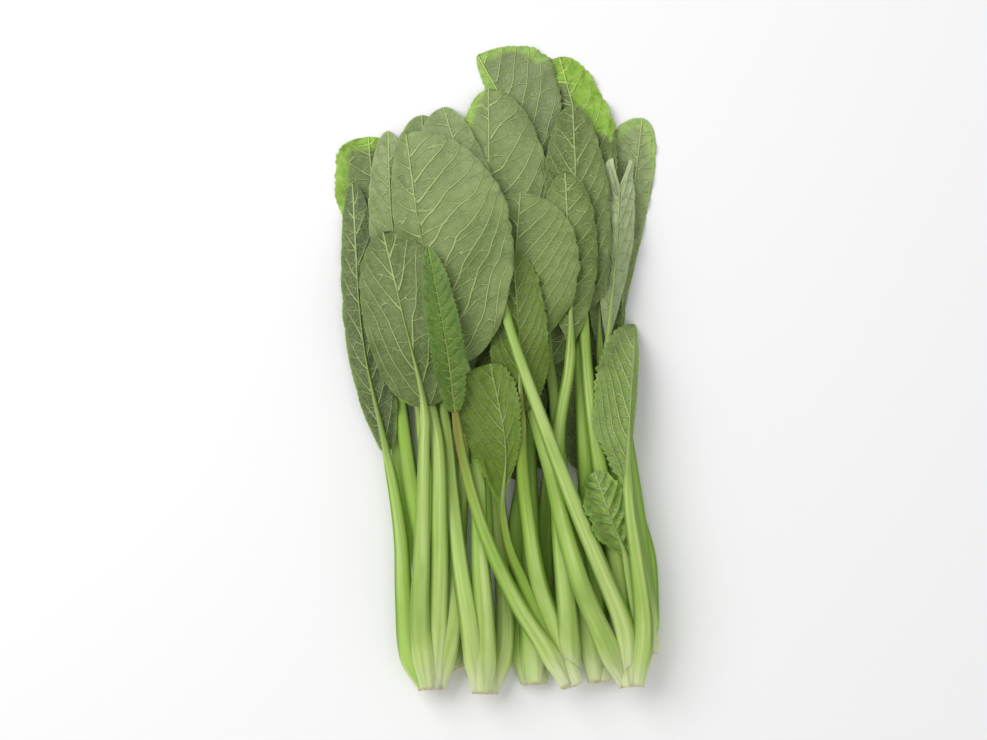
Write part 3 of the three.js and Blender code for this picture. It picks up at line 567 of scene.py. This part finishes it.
def blade_plan(one):
    """Places of a blade's points in plan, with how far along (s) and across (t) each one is."""
    grid = one.look["grid"]
    rows = max(24, round(one.blade_length / grid))
    columns = 2 * max(8, round((one.half[0] + one.half[1]) / 2 / grid)) + 1
    even = np.linspace(0, 1, rows)
    u = lerp(even, 0.5 - 0.5 * np.cos(np.pi * even), 0.55)
    v = np.linspace(-1, 1, columns)
    s = u * one.blade_length
    width, _ = stalk_size(one, one.base_length, 1.0, 1e-6)
    least = lerp(width * 0.9, 0.0, smooth(u, 0, 0.08))
    sides = [blade_side(one, u, s, least, side) for side in (0, 1)]
    half, tooth = [np.where(v > 0, right[:, None], left[:, None]) for left, right in zip(*sides)]
    edge = np.abs(v)[None]
    outward = np.sign(v)[None]
    notch = one.look["notch"]
    t = v[None] * half + outward * tooth * smooth(edge, 0.8, 1)
    t = t + outward * NOTCH_OPENING * notch * smooth(u, 0.9, 1.0)[:, None] * smooth(edge, 0, 0.6)
    cut_in = notch * smooth(u, 0.72, 1.0)[:, None] * (1 - smooth(edge, 0.0, 0.7))
    place, side = one.spine.at(one.base_length + s)
    x = place[:, :1] + side[:, :1] * t + side[:, 1:] * cut_in
    y = place[:, 1:] + side[:, 1:] * t - side[:, :1] * cut_in
    s = np.broadcast_to(s[:, None], t.shape)
    return SimpleNamespace(x=x, y=y, u=u, v=v, s=s, t=t, half=half, edge=edge)


def blade_veins(one, blade):
    """Numbers and half widths of the veins at a blade's points."""
    value, cross = vein_field(one, blade.s, blade.t)
    steep, cross_steep = vein_steepness(one, blade.s, blade.t)
    away = np.abs(blade.t)
    out = np.clip(away / (blade.half + 0.1), 0, 1)
    width = VEIN_HALF_WIDTH + VEIN_GROWTH * np.minimum(blade.half, 30)
    width = width * (1 - 0.5 * out) * (1 + 0.7 * np.exp(-away / 2.2)) * one.look["bold"] * steep
    cross_width = VEIN_HALF_WIDTH * one.look["bold"] * (1 - 0.3 * out) * cross_steep
    return {"vein": value, "cross": cross, "vein_width": width, "cross_width": cross_width}


def blade_height(one, blade, veins):
    """Heights of a blade's points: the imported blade's, with veins, swells, ruffles and the midrib."""
    u, s, t, edge = blade.u, blade.s, blade.t, blade.edge
    number = veins["vein"]
    up = -1 if one.upper else 1
    z = glide(one.row_u, one.rows, u)
    z = glide(BLADE_COLUMNS, z.T.copy(), blade.v).T
    ridge = np.exp(-((np.abs((number + 0.5) % 1 - 0.5) / (veins["vein_width"] * 1.5)) ** 2))
    fade = smooth(edge, 1.0, 0.8) * smooth(np.abs(t), 0.5, 3)
    panel = one.noise(s / 5.2, t / 5.2 + 40) * 0.6 + one.noise(s / 2.6 + 9, t / 2.6) * 0.3
    pillow = 0.7 * panel + 0.45 * np.cos(2 * np.pi * number)
    z = z + up * fade * (VEIN_RISE * ridge * (1 - 0.5 * edge) + one.look["bumps"] * pillow)
    turns = s / RUFFLE_LENGTH + 0.5 * one.noise(s / 25, np.sign(blade.v)[None] * 4 + 8)
    wave = np.sin(2 * np.pi * turns + np.where(blade.v > 0, 1.9, 0))
    body = smooth(u, 0.02, 0.2)[:, None]
    swell = one.noise(s / 30 + 50, t / 22 + 9) + 0.4 * one.noise(s / 13 + 5, t / 12 + 30)
    z = z + one.look["waves"] * swell * smooth(np.abs(t), 1.5, 9) * body
    z = z + one.look["ruffle"] * wave * edge**4 * body * np.minimum(1, blade.half / 12)
    return z + up * MIDRIB_RISE * np.exp(-((t / MIDRIB_REACH) ** 2)) * smooth(u, 1.0, 0.85)[:, None]


def blade_grid(one):
    """Fills in the points in the middle of a blade, with what the material needs to know."""
    blade = blade_plan(one)
    veins = blade_veins(one, blade)
    one.points = np.stack([blade.x, blade.y, blade_height(one, blade, veins)], axis=2)
    u = blade.u
    one.u = u
    one.flat = np.stack([blade.s.ravel(), blade.t.ravel()], axis=1)
    margin = np.minimum((1 - blade.edge) * blade.half, (1 - u)[:, None] * one.blade_length)
    # Painted glow: a band along the margin, rim wide from rim_from on, as of light coming through a single
    # sheet
    rim = one.look["rim"] * smooth(u, one.look["rim_from"], one.look["rim_from"] + RIM_REACH)[:, None]
    one.bright = rim * (1 + 0.3 * one.noise(blade.s / 14 + 3, blade.t / 14)) - margin
    paler = one.look["tone"] * (1 + one.look["tip"] * smooth(u, 0.45, 1.0))[:, None]
    browner = one.look["olive"] * (1.25 - 0.75 * smooth(u, 0.1, 0.6))[:, None]
    every = np.ones(blade.t.shape)
    one.facts = {
        **veins, "margin": margin, "midrib": np.abs(blade.t), "tone": paler * every, "olive": browner * every,
    }


def tube_grid(one):
    """Rings of points round the stalk and midrib."""
    end = one.base_length + MIDRIB_TIP * one.blade_length
    count = max(20, round(end / TUBE_STEP))
    length = np.linspace(0, end, count)
    u = (length - one.base_length) / one.blade_length
    along = length / one.base_length
    width, height = stalk_size(one, length, along, u)
    narrow = 1 - 0.35 * smooth(u, -0.12, 0.1) - 0.4 * smooth(u, 0.03, 0.4)
    tip = 1 - 0.75 * smooth(u, 0.4, MIDRIB_TIP)
    width = width * narrow * tip
    height = height * (1 - 0.25 * smooth(u, 0, 0.3)) * tip
    place, side = one.spine.at(length)
    spine = glide(one.station_length, one.spine_z, length)
    sag = 0.5 * smooth(u, -0.02, 0.1) + 0.3 * smooth(u, 0.1, 0.5)
    spine = spine - sag * (-1 if one.upper else 1)
    lift = np.interp(u, one.u, one.lift_mid, left=0)
    spine = spine + np.where(u < 0, np.interp(u, [-0.15, 0], [0, one.lift_mid[0]]), lift)
    angle = np.arange(TUBE_SIDES) * 2 * np.pi / TUBE_SIDES
    ribs = 0.025 * np.cos(9 * angle + one.level) + 0.02 * np.cos(5 * angle + 2 * one.level)
    ribs = 1 + ribs[None] * smooth(u, 0.1, -0.1)[:, None] * smooth(length, 0, 20)[:, None]
    across = np.cos(angle)[None] * width[:, None] * ribs
    rise = np.sin(angle)[None] * height[:, None] * ribs
    hollow = (np.sin(angle) < 0) * np.abs(np.sin(angle))
    rise = rise * (1 - 0.25 * hollow)[None] if not one.upper else rise
    x = place[:, :1] + side[:, :1] * across
    y = place[:, 1:] + side[:, 1:] * across
    z = np.maximum(spine[:, None] + rise, LEAST_HEIGHT)
    one.rings = np.stack([x, y, z], axis=2)
    one.ring_along = np.where(u < 0, along, 1 + u)
    one.ring_flank = np.abs(np.cos(angle))
    one.ring_length = length


def lay_leaf(one, layers):
    """Lays a leaf on what is below it: where a blade would dip under, it is lifted."""
    blade_grid(one)
    points = one.points
    need = layers.under(points) + SHEET_THICKNESS / 2 + LAYER_GAP
    need = np.maximum(need, SHEET_THICKNESS / 2)
    lift = spread_out(np.maximum(need - points[..., 2], 0), LIFT_SPREAD)
    # The painted glow is kept only where no sheet lies under the blade
    bare = layers.sheets[layers.cell(points[..., 0], points[..., 1])] < 1
    one.facts["lit"] = smooth(one.bright, -2.0, 2.0) * bare
    points[..., 2] += lift
    middle = points.shape[1] // 2
    one.lift_mid = lift[:, middle]
    tube_grid(one)
    closed = np.concatenate([one.rings, one.rings[:, :1]], axis=1)
    layers.lay(closed)
    top = points.copy()
    top[..., 2] += SHEET_THICKNESS / 2
    layers.lay(top, sheet=True)


def mesh_object(name, points, faces, floats, uv, material):
    """Mesh piece from points in millimetres and faces of four corners or three."""
    mesh = bpy.data.meshes.new(name)
    sizes = np.array([len(face) for face in faces])
    corners = np.concatenate(faces)
    mesh.vertices.add(len(points))
    mesh.vertices.foreach_set("co", (points * MM).astype(np.float32).ravel())
    mesh.loops.add(len(corners))
    mesh.loops.foreach_set("vertex_index", corners.astype(np.int32))
    mesh.polygons.add(len(sizes))
    mesh.polygons.foreach_set("loop_start", np.concatenate([[0], np.cumsum(sizes)[:-1]]).astype(np.int32))
    mesh.update(calc_edges=True)
    for key, values in floats.items():
        attribute = mesh.attributes.new(key, "FLOAT", "POINT")
        attribute.data.foreach_set("value", np.asarray(values, np.float32).ravel())
    layer = mesh.uv_layers.new(name="Flat")
    layer.data.foreach_set("uv", (uv[corners] * MM).astype(np.float32).ravel())
    mesh.shade_smooth()
    mesh.validate()
    mesh.materials.append(material)
    piece = bpy.data.objects.new(name, mesh)
    bpy.context.collection.objects.link(piece)
    return piece


def blade_piece(one, material):
    """Closed sheet with two faces and a thin rim."""
    rows, columns = one.points.shape[:2]
    margin = one.facts["margin"]
    half = lerp(MARGIN_THICKNESS, SHEET_THICKNESS, smooth(margin, 0, MARGIN_REACH)) / 2
    away = np.stack([0 * half, 0 * half, half], axis=2)
    top = one.points + away
    bottom = one.points - away
    count = rows * columns
    number = np.arange(count).reshape(rows, columns)
    a, b, c, d = number[:-1, :-1], number[:-1, 1:], number[1:, 1:], number[1:, :-1]
    upper = np.stack([a, b, c, d], axis=-1).reshape(-1, 4)
    lower = np.stack([d, c, b, a], axis=-1).reshape(-1, 4) + count
    round_rim = np.concatenate([number[0, :-1], number[:-1, -1], number[-1, :0:-1], number[:0:-1, 0]])
    after = np.roll(round_rim, -1)
    rim = np.stack([round_rim, round_rim + count, after + count, after], axis=-1)
    faces = np.concatenate([upper, lower, rim])
    points = np.concatenate([top.reshape(-1, 3), bottom.reshape(-1, 3)])
    floats = {key: np.tile(values.ravel(), 2) for key, values in one.facts.items()}
    floats["upper_side"] = np.repeat([float(one.upper), float(not one.upper)], count)
    for key, value in (("fresh", one.look["fresh"]), ("grey", one.look["grey"]), ("level", one.level)):
        floats[key] = np.full(2 * count, value)
    name = f"leaf_blade_{one.plant}{one.no}"
    piece = mesh_object(name, points, faces, floats, np.tile(one.flat, (2, 1)), material)
    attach(piece, "root")
    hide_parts(f"plant_{one.plant}_leaf_{one.no}")
    return piece


def tube_faces(rings, sides, first):
    """Faces of a closed tube whose points start at first, with its two end points last."""
    number = first + np.arange(rings * sides).reshape(rings, sides)
    after = np.roll(number, -1, axis=1)
    wall = np.stack([number[:-1], after[:-1], after[1:], number[1:]], axis=-1).reshape(-1, 4)
    start, end = first + rings * sides, first + rings * sides + 1
    caps = [(start, after[0, k], number[0, k]) for k in range(sides)]
    caps += [(end, number[-1, k], after[-1, k]) for k in range(sides)]
    return [*wall, *caps]


def crown_grid(plant, height):
    """Short solid base that the stalks grow from, with a slightly hollow cut face."""
    cut, way, side = crown_axes(plant)
    angle = np.arange(CROWN_POINTS) * 2 * np.pi / CROWN_POINTS
    flute = 1 + 0.035 * np.sin(3 * angle + ord(plant)) + 0.02 * np.sin(7 * angle + 2 * ord(plant))
    rings = []
    for share, forward in CROWN_PROFILE:
        radius = CROWN_RADIUS * CROWN_SHARE * share * flute
        place = cut + side * (radius * np.sin(angle))[:, None] + way * forward - PLAN_CENTRE
        rise = CROWN_FLATTENING * radius * np.cos(angle)
        rings.append(np.column_stack([place, np.maximum(height + rise, LEAST_HEIGHT)]))
    return np.array(rings), np.array([forward for _, forward in CROWN_PROFILE])


def plant_piece(plant, crown_height, material):
    """All stalks of a plant with their crown in one piece."""
    points, faces, uv = [], [], []
    floats = {"along": [], "cut": [], "red": [], "pith": [], "lit": [], "level": [], "flank": []}
    first = 0

    def add(rings, lengths, along, cut, flank, looks):
        nonlocal first
        count, sides = rings.shape[:2]
        caps = np.array([rings[0].mean(axis=0), rings[-1].mean(axis=0)])
        points.append(np.concatenate([rings.reshape(-1, 3), caps]))
        faces.extend(tube_faces(count, sides, first))
        first += count * sides + 2
        spread = np.repeat(along, sides)
        floats["along"].append(np.concatenate([spread, along[:1], along[-1:]]))
        floats["cut"].append(np.concatenate([np.repeat(cut, sides), [1.0, 0.0]]))
        floats["flank"].append(np.concatenate([np.tile(flank, count), [0.0, 0.0]]))
        for key in ("red", "pith", "lit", "level"):
            floats[key].append(np.full(count * sides + 2, looks[key]))
        around = np.linspace(0, 24, sides)
        plane = np.stack([np.repeat(lengths, sides), np.tile(around, count)], axis=1)
        uv.append(np.concatenate([plane, [[0, 0], [lengths[-1], 0]]]))

    for one in leaves_of(plant):
        cut = smooth(one.ring_length, 1.5, 0)
        looks = {**one.look, "level": one.level}
        add(one.rings, one.ring_length, one.ring_along, cut, one.ring_flank, looks)
    rings, forward = crown_grid(plant, crown_height)
    cut = smooth(forward, 1.2, 0.3)
    flank = np.zeros(rings.shape[1])
    add(rings, forward, forward / 120, cut, flank, {**PLAIN_LOOK, "level": ord(plant)})
    floats = {key: np.concatenate(values) for key, values in floats.items()}
    name = f"stalks_and_base_{plant}"
    piece = mesh_object(name, np.concatenate(points), faces, floats, np.concatenate(uv), material)
    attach(piece, "root")
    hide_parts(f"plant_{plant}_stalks")
    return piece


def rgb(red, green, blue):
    """Display colour from 0 to 255 as the linear values that materials take."""
    share = [value / 255 for value in (red, green, blue)]
    return (*[v / 12.92 if v <= 0.04045 else ((v + 0.055) / 1.055) ** 2.4 for v in share], 1.0)


class Graph:
    """Node material with short names for the nodes it is made of."""

    def __init__(self, name):
        self.material = bpy.data.materials.new(name)
        self.material.use_nodes = True
        self.tree = self.material.node_tree
        self.tree.nodes.clear()
        self.shader = self.node("BsdfPrincipled")
        self.node("OutputMaterial", {"Surface": self.shader.outputs["BSDF"]})

    def put(self, value, socket):
        if isinstance(value, bpy.types.NodeSocket):
            self.tree.links.new(value, socket)
        else:
            socket.default_value = value

    def node(self, kind, values=None, **settings):
        """New node with its settings, and with values or other nodes' outputs on its inputs."""
        node = self.tree.nodes.new("ShaderNode" + kind)
        for key, setting in settings.items():
            setattr(node, key, setting)
        for key, value in (values or {}).items():
            self.put(value, node.inputs[key])
        return node

    def surface(self, values):
        """Puts values or other nodes' outputs on the shader's inputs."""
        for key, value in values.items():
            self.put(value, self.shader.inputs[key])

    def attribute(self, name):
        return self.node("Attribute", attribute_name=name).outputs["Fac"]

    def flat(self, level=0.0):
        """Place on the piece in metres, with a level that sets each piece's noise apart."""
        place = self.node("UVMap", uv_map="Flat").outputs["UV"]
        parts = self.node("SeparateXYZ", {0: place}).outputs
        return self.node("CombineXYZ", {0: parts["X"], 1: parts["Y"], 2: level}).outputs[0]

    def math(self, operation, a, b=0.0, c=0.0, clamp=False):
        return self.node("Math", {0: a, 1: b, 2: c}, operation=operation, use_clamp=clamp).outputs[0]

    def times(self, a, b, clamp=False):
        return self.math("MULTIPLY", a, b, clamp=clamp)

    def scaled(self, vector, x, y):
        return self.node("Mapping", {"Vector": vector, "Scale": (x, y, 1.0)}).outputs[0]

    def noise(self, vector, scale, detail=2.0):
        return self.node("TexNoise", {"Vector": vector, "Scale": scale, "Detail": detail}).outputs["Fac"]

    def warped(self, vector, scale, reach):
        """The place moved to and fro by noise, so that straight borders bend."""
        noise = self.node("TexNoise", {"Vector": vector, "Scale": scale, "Detail": 1.0}).outputs["Color"]
        values = {0: noise, 1: (reach, reach, 0.0), 2: vector}
        return self.node("VectorMath", values, operation="MULTIPLY_ADD").outputs[0]

    def line(self, number, half_width):
        """1 where a number is whole, falling to 0 at the half width."""
        share = self.math("FRACT", self.math("ADD", number, 0.5))
        away = self.math("ABSOLUTE", self.math("SUBTRACT", share, 0.5))
        return self.range(self.math("DIVIDE", away, half_width), 1.1, 0.45)

    def chance(self, number):
        """Random value from 0 to 1 for each whole number."""
        return self.node("TexWhiteNoise", {"W": number}, noise_dimensions="1D").outputs["Value"]

    def net(self, vector, scale):
        """Distance to the nearest border between cells."""
        values = {"Vector": vector, "Scale": scale}
        return self.node("TexVoronoi", values, feature="DISTANCE_TO_EDGE").outputs["Distance"]

    def range(self, value, low, high, to_low=0.0, to_high=1.0):
        """Goes smoothly from to_low to to_high while the value goes from low to high."""
        values = {"Value": value, "From Min": low, "From Max": high, "To Min": to_low, "To Max": to_high}
        return self.node("MapRange", values, interpolation_type="SMOOTHSTEP").outputs["Result"]

    def mix(self, share, a, b):
        return self.node("Mix", {0: share, 6: a, 7: b}, data_type="RGBA").outputs[2]

    def bump(self, height, distance, strength):
        node = self.node("Bump", {"Strength": strength, "Distance": distance, "Height": height})
        self.surface({"Normal": node.outputs["Normal"]})


def leaf_material():
    """Blade tissue: pale raised veins on the underside, darker and smoother above."""
    g = Graph("leaf_tissue")
    flat = g.flat(g.attribute("level"))
    upper = g.attribute("upper_side")
    margin = g.attribute("margin")

    # Side veins, the cross veins that fork between them, and the finest net
    jitter = g.math("SUBTRACT", g.noise(flat, 120, 3), 0.5)
    number = g.math("MULTIPLY_ADD", jitter, 0.05, g.attribute("vein"))
    side_vein = g.line(number, g.attribute("vein_width"))
    near_rim = g.range(margin, 0.4, 3.0)
    side_vein = g.times(side_vein, near_rim)
    onward = g.math("SUBTRACT", 1.0, g.math("FRACT", number))
    cross = g.math("ADD", g.attribute("cross"), g.chance(g.math("FLOOR", number)))
    cross = g.math("MULTIPLY_ADD", jitter, 0.5, cross)
    fork = g.times(g.math("MAXIMUM", g.math("SUBTRACT", onward, 0.45), 0.0), 0.9)
    width = g.attribute("cross_width")
    forked = g.line(g.math("ADD", cross, fork), g.times(width, 0.8))
    branch = g.math("MAXIMUM", g.line(cross, width), forked)
    branch = g.times(branch, g.range(onward, 0.0, 1.0, 0.95, 0.6))
    branch = g.times(branch, near_rim)
    fine = g.range(g.net(g.warped(flat, 300, 0.0015), 420), 0.12, 0.02)
    main = g.range(g.attribute("midrib"), 0.8, 0.25)
    vein = g.math("MAXIMUM", g.math("MAXIMUM", side_vein, branch), main)

    # Colours of the two sides
    patch = g.noise(flat, 28, 3)
    speck = g.noise(flat, 260, 3)
    under = g.mix(g.range(patch, 0.35, 0.65), rgb(90, 113, 47), rgb(121, 141, 75))
    over = g.mix(g.range(patch, 0.35, 0.65), rgb(56, 92, 18), rgb(86, 122, 36))
    tissue = g.mix(upper, under, over)
    tissue = g.mix(g.times(g.attribute("olive"), 0.9), tissue, rgb(82, 104, 16))
    tissue = g.mix(g.times(g.attribute("grey"), 0.8), tissue, rgb(82, 96, 62))
    # Yellow-green that is the leaf's own fresh colour, and painted glow (lit) where light would come through
    # a single sheet
    bright = g.mix(g.range(speck, 0.3, 0.7), rgb(112, 158, 34), rgb(156, 196, 66))
    tissue = g.mix(g.math("ADD", g.attribute("lit"), g.attribute("fresh"), clamp=True), tissue, bright)
    tissue = g.mix(g.times(g.attribute("tone"), 0.15, clamp=True), tissue, rgb(178, 192, 148))
    tissue = g.mix(g.range(speck, 0.45, 0.75, 0.0, 0.18), tissue, rgb(70, 92, 36))
    light = g.mix(upper, rgb(168, 188, 120), rgb(128, 160, 68))
    light = g.mix(g.times(g.attribute("olive"), 0.6), light, rgb(132, 154, 70))
    # Veins paler still in the painted glow
    light = g.mix(g.attribute("lit"), light, rgb(184, 216, 110))
    tissue = g.mix(g.times(fine, 0.2), tissue, light)
    # Painted shade: tissue beside the veins darkened as if shadowed by them, less in the painted glow and on
    # pale leaves
    shade = g.range(g.math("MAXIMUM", side_vein, branch), 0.02, 0.3, 0.0, 0.3)
    shade = g.times(shade, g.math("MULTIPLY_ADD", g.attribute("lit"), -0.8, 1.0))
    shade = g.times(shade, g.range(g.attribute("tone"), 2.0, 5.0, 1.0, 0.25))
    tissue = g.mix(shade, tissue, rgb(60, 80, 28))
    colour = g.mix(g.times(vein, 0.85), tissue, light)
    colour = g.mix(g.range(margin, 0.5, 0.0, 0.0, 0.35), colour, light)

    # Relief: veins stand out below and sink in above
    sign = g.math("MULTIPLY_ADD", upper, -2.0, 1.0)
    height = g.math("MULTIPLY_ADD", fine, 0.12, vein)
    height = g.math("MULTIPLY_ADD", speck, 0.1, g.times(height, sign))
    g.bump(height, 0.75 * MM, 1.0)
    g.surface({
        "Base Color": colour,
        "Roughness": g.range(speck, 0.2, 0.8, 0.46, 0.62),
        "Specular IOR Level": 0.32,
        "Subsurface Weight": 0.06,
        "Subsurface Radius": (0.0008, 0.0012, 0.0004),
        "Subsurface Scale": 0.6,
    })
    return g.material


def stalk_material():
    """Juicy stalks: near white at the base, green towards the blade, with long faint ribs."""
    g = Graph("stalk_tissue")
    flat = g.flat(g.attribute("level"))
    along = g.attribute("along")
    cut = g.attribute("cut")
    red = g.attribute("red")
    ribs = g.noise(g.scaled(flat, 10, 400), 1.0, 3)
    patch = g.noise(g.scaled(flat, 22, 90), 1.0, 3)
    pale = g.mix(g.range(along, 0.0, 0.16), rgb(234, 234, 202), rgb(180, 203, 112))
    middle = g.mix(g.range(along, 0.1, 0.5), pale, rgb(150, 184, 70))
    green = g.mix(g.range(along, 0.4, 1.0), middle, rgb(130, 161, 56))
    stalk_pith = g.times(g.attribute("pith"), g.range(along, 0.9, 1.1, 0.6, 0.1))
    colour = g.mix(stalk_pith, green, rgb(190, 209, 132))
    colour = g.mix(g.range(along, 1.0, 1.12, 0.0, 0.9), colour, rgb(146, 168, 96))
    in_stalk = g.range(along, 0.95, 1.1, 1.0, 0.3)
    # Pale streaks along the ribs, partly the stalk's own colour and partly painted highlight, and darker
    # green in the grooves, partly the stalk's own colour and partly painted shade
    pale_rib = g.times(in_stalk, g.range(ribs, 0.45, 0.66, 0.0, 0.42))
    colour = g.mix(pale_rib, colour, rgb(216, 230, 162))
    groove = g.times(in_stalk, g.range(ribs, 0.5, 0.34, 0.0, 0.34))
    colour = g.mix(groove, colour, rgb(126, 162, 46))
    colour = g.mix(g.range(patch, 0.45, 0.7, 0.0, 0.45), colour, rgb(112, 150, 36))
    # Painted glow: bright lime where light would come through thin stalks, none in the midrib
    glow = g.times(g.attribute("lit"), g.range(patch, 0.3, 0.6, 0.4, 1.0))
    glow = g.times(glow, g.range(along, 0.9, 1.0, 1.0, 0.0))
    colour = g.mix(glow, colour, rgb(164, 212, 66))
    # Painted shade: darker green towards the flanks of each stalk as seen from above, less near the base and
    # none in the midrib
    flank = g.times(g.attribute("flank"), g.range(along, 0.9, 1.05, 1.0, 0.0))
    flank = g.times(flank, g.range(along, 0.02, 0.25, 0.4, 1.0))
    colour = g.mix(g.range(flank, 0.5, 1.0, 0.0, 0.75), colour, rgb(92, 130, 30))
    streak = g.times(red, g.range(along, 0.45, 0.95))
    streak = g.times(streak, g.range(along, 1.0, 1.3, 1.0, 0.35))
    streak = g.times(streak, g.range(g.noise(g.scaled(flat, 9, 130), 1.0, 2), 0.45, 0.6))
    colour = g.mix(g.times(streak, 0.75), colour, rgb(120, 84, 38))
    torn = g.noise(flat, 700, 3)
    face = g.mix(g.range(torn, 0.35, 0.7), rgb(226, 222, 188), rgb(196, 172, 122))
    colour = g.mix(cut, colour, face)
    g.bump(g.math("MULTIPLY_ADD", patch, 0.6, ribs), 0.22 * MM, 0.6)
    g.surface({
        "Base Color": colour,
        "Roughness": g.range(patch, 0.3, 0.7, 0.36, 0.48),
        "Specular IOR Level": 0.34,
        "Subsurface Weight": 0.25,
        "Subsurface Radius": (0.002, 0.003, 0.001),
        "Subsurface Scale": 1.0,
    })
    return g.material


def studio():
    """Pale floor, soft lights and a camera straight above, as in the photograph."""
    world = bpy.data.worlds.new("studio")
    bpy.context.scene.world = world
    world.use_nodes = True
    sky = world.node_tree.nodes["Background"]
    sky.inputs["Color"].default_value = (1, 1, 1, 1)
    sky.inputs["Strength"].default_value = WORLD_STRENGTH
    bpy.ops.mesh.primitive_plane_add(size=FLOOR_SIZE)
    floor = bpy.context.object
    floor.name = "floor"
    floor.location.z = -FLOOR_DROP
    g = Graph("pale_floor")
    colour = g.mix(g.noise(g.flat(), 3), rgb(246, 246, 246), rgb(249, 249, 249))
    g.surface({"Base Color": colour, "Roughness": 0.9})
    floor.data.materials.append(g.material)
    for name, (place, size, power) in LIGHTS.items():
        lamp = bpy.data.lights.new(name, "AREA")
        lamp.size = size
        lamp.energy = power
        holder = bpy.data.objects.new(name, lamp)
        holder.location = place
        holder.rotation_euler = (-Vector(place)).to_track_quat("-Z", "Y").to_euler()
        bpy.context.collection.objects.link(holder)
    camera = bpy.data.objects.new("camera", bpy.data.cameras.new("camera"))
    camera.data.lens = CAMERA_LENS
    camera.data.sensor_width = CAMERA_SENSOR
    camera.location = CAMERA_PLACE
    bpy.context.collection.objects.link(camera)
    bpy.context.scene.camera = camera
    bpy.context.scene.view_settings.view_transform = "Standard"


def main():
    studio()
    crowns = read_model()
    layers = Layers()
    leaf_tissue, stalk_tissue = leaf_material(), stalk_material()
    for index, one in enumerate(LEAVES):
        one.look = LOOKS.get(f"{one.plant}{one.no}", PLAIN_LOOK)
        one.noise = Noise(100 + index)
        one.level = float(index)
        lay_leaf(one, layers)
        blade_piece(one, leaf_tissue)
    for plant in PLANTS:
        plant_piece(plant, crowns[plant], stalk_tissue)
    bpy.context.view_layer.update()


main()
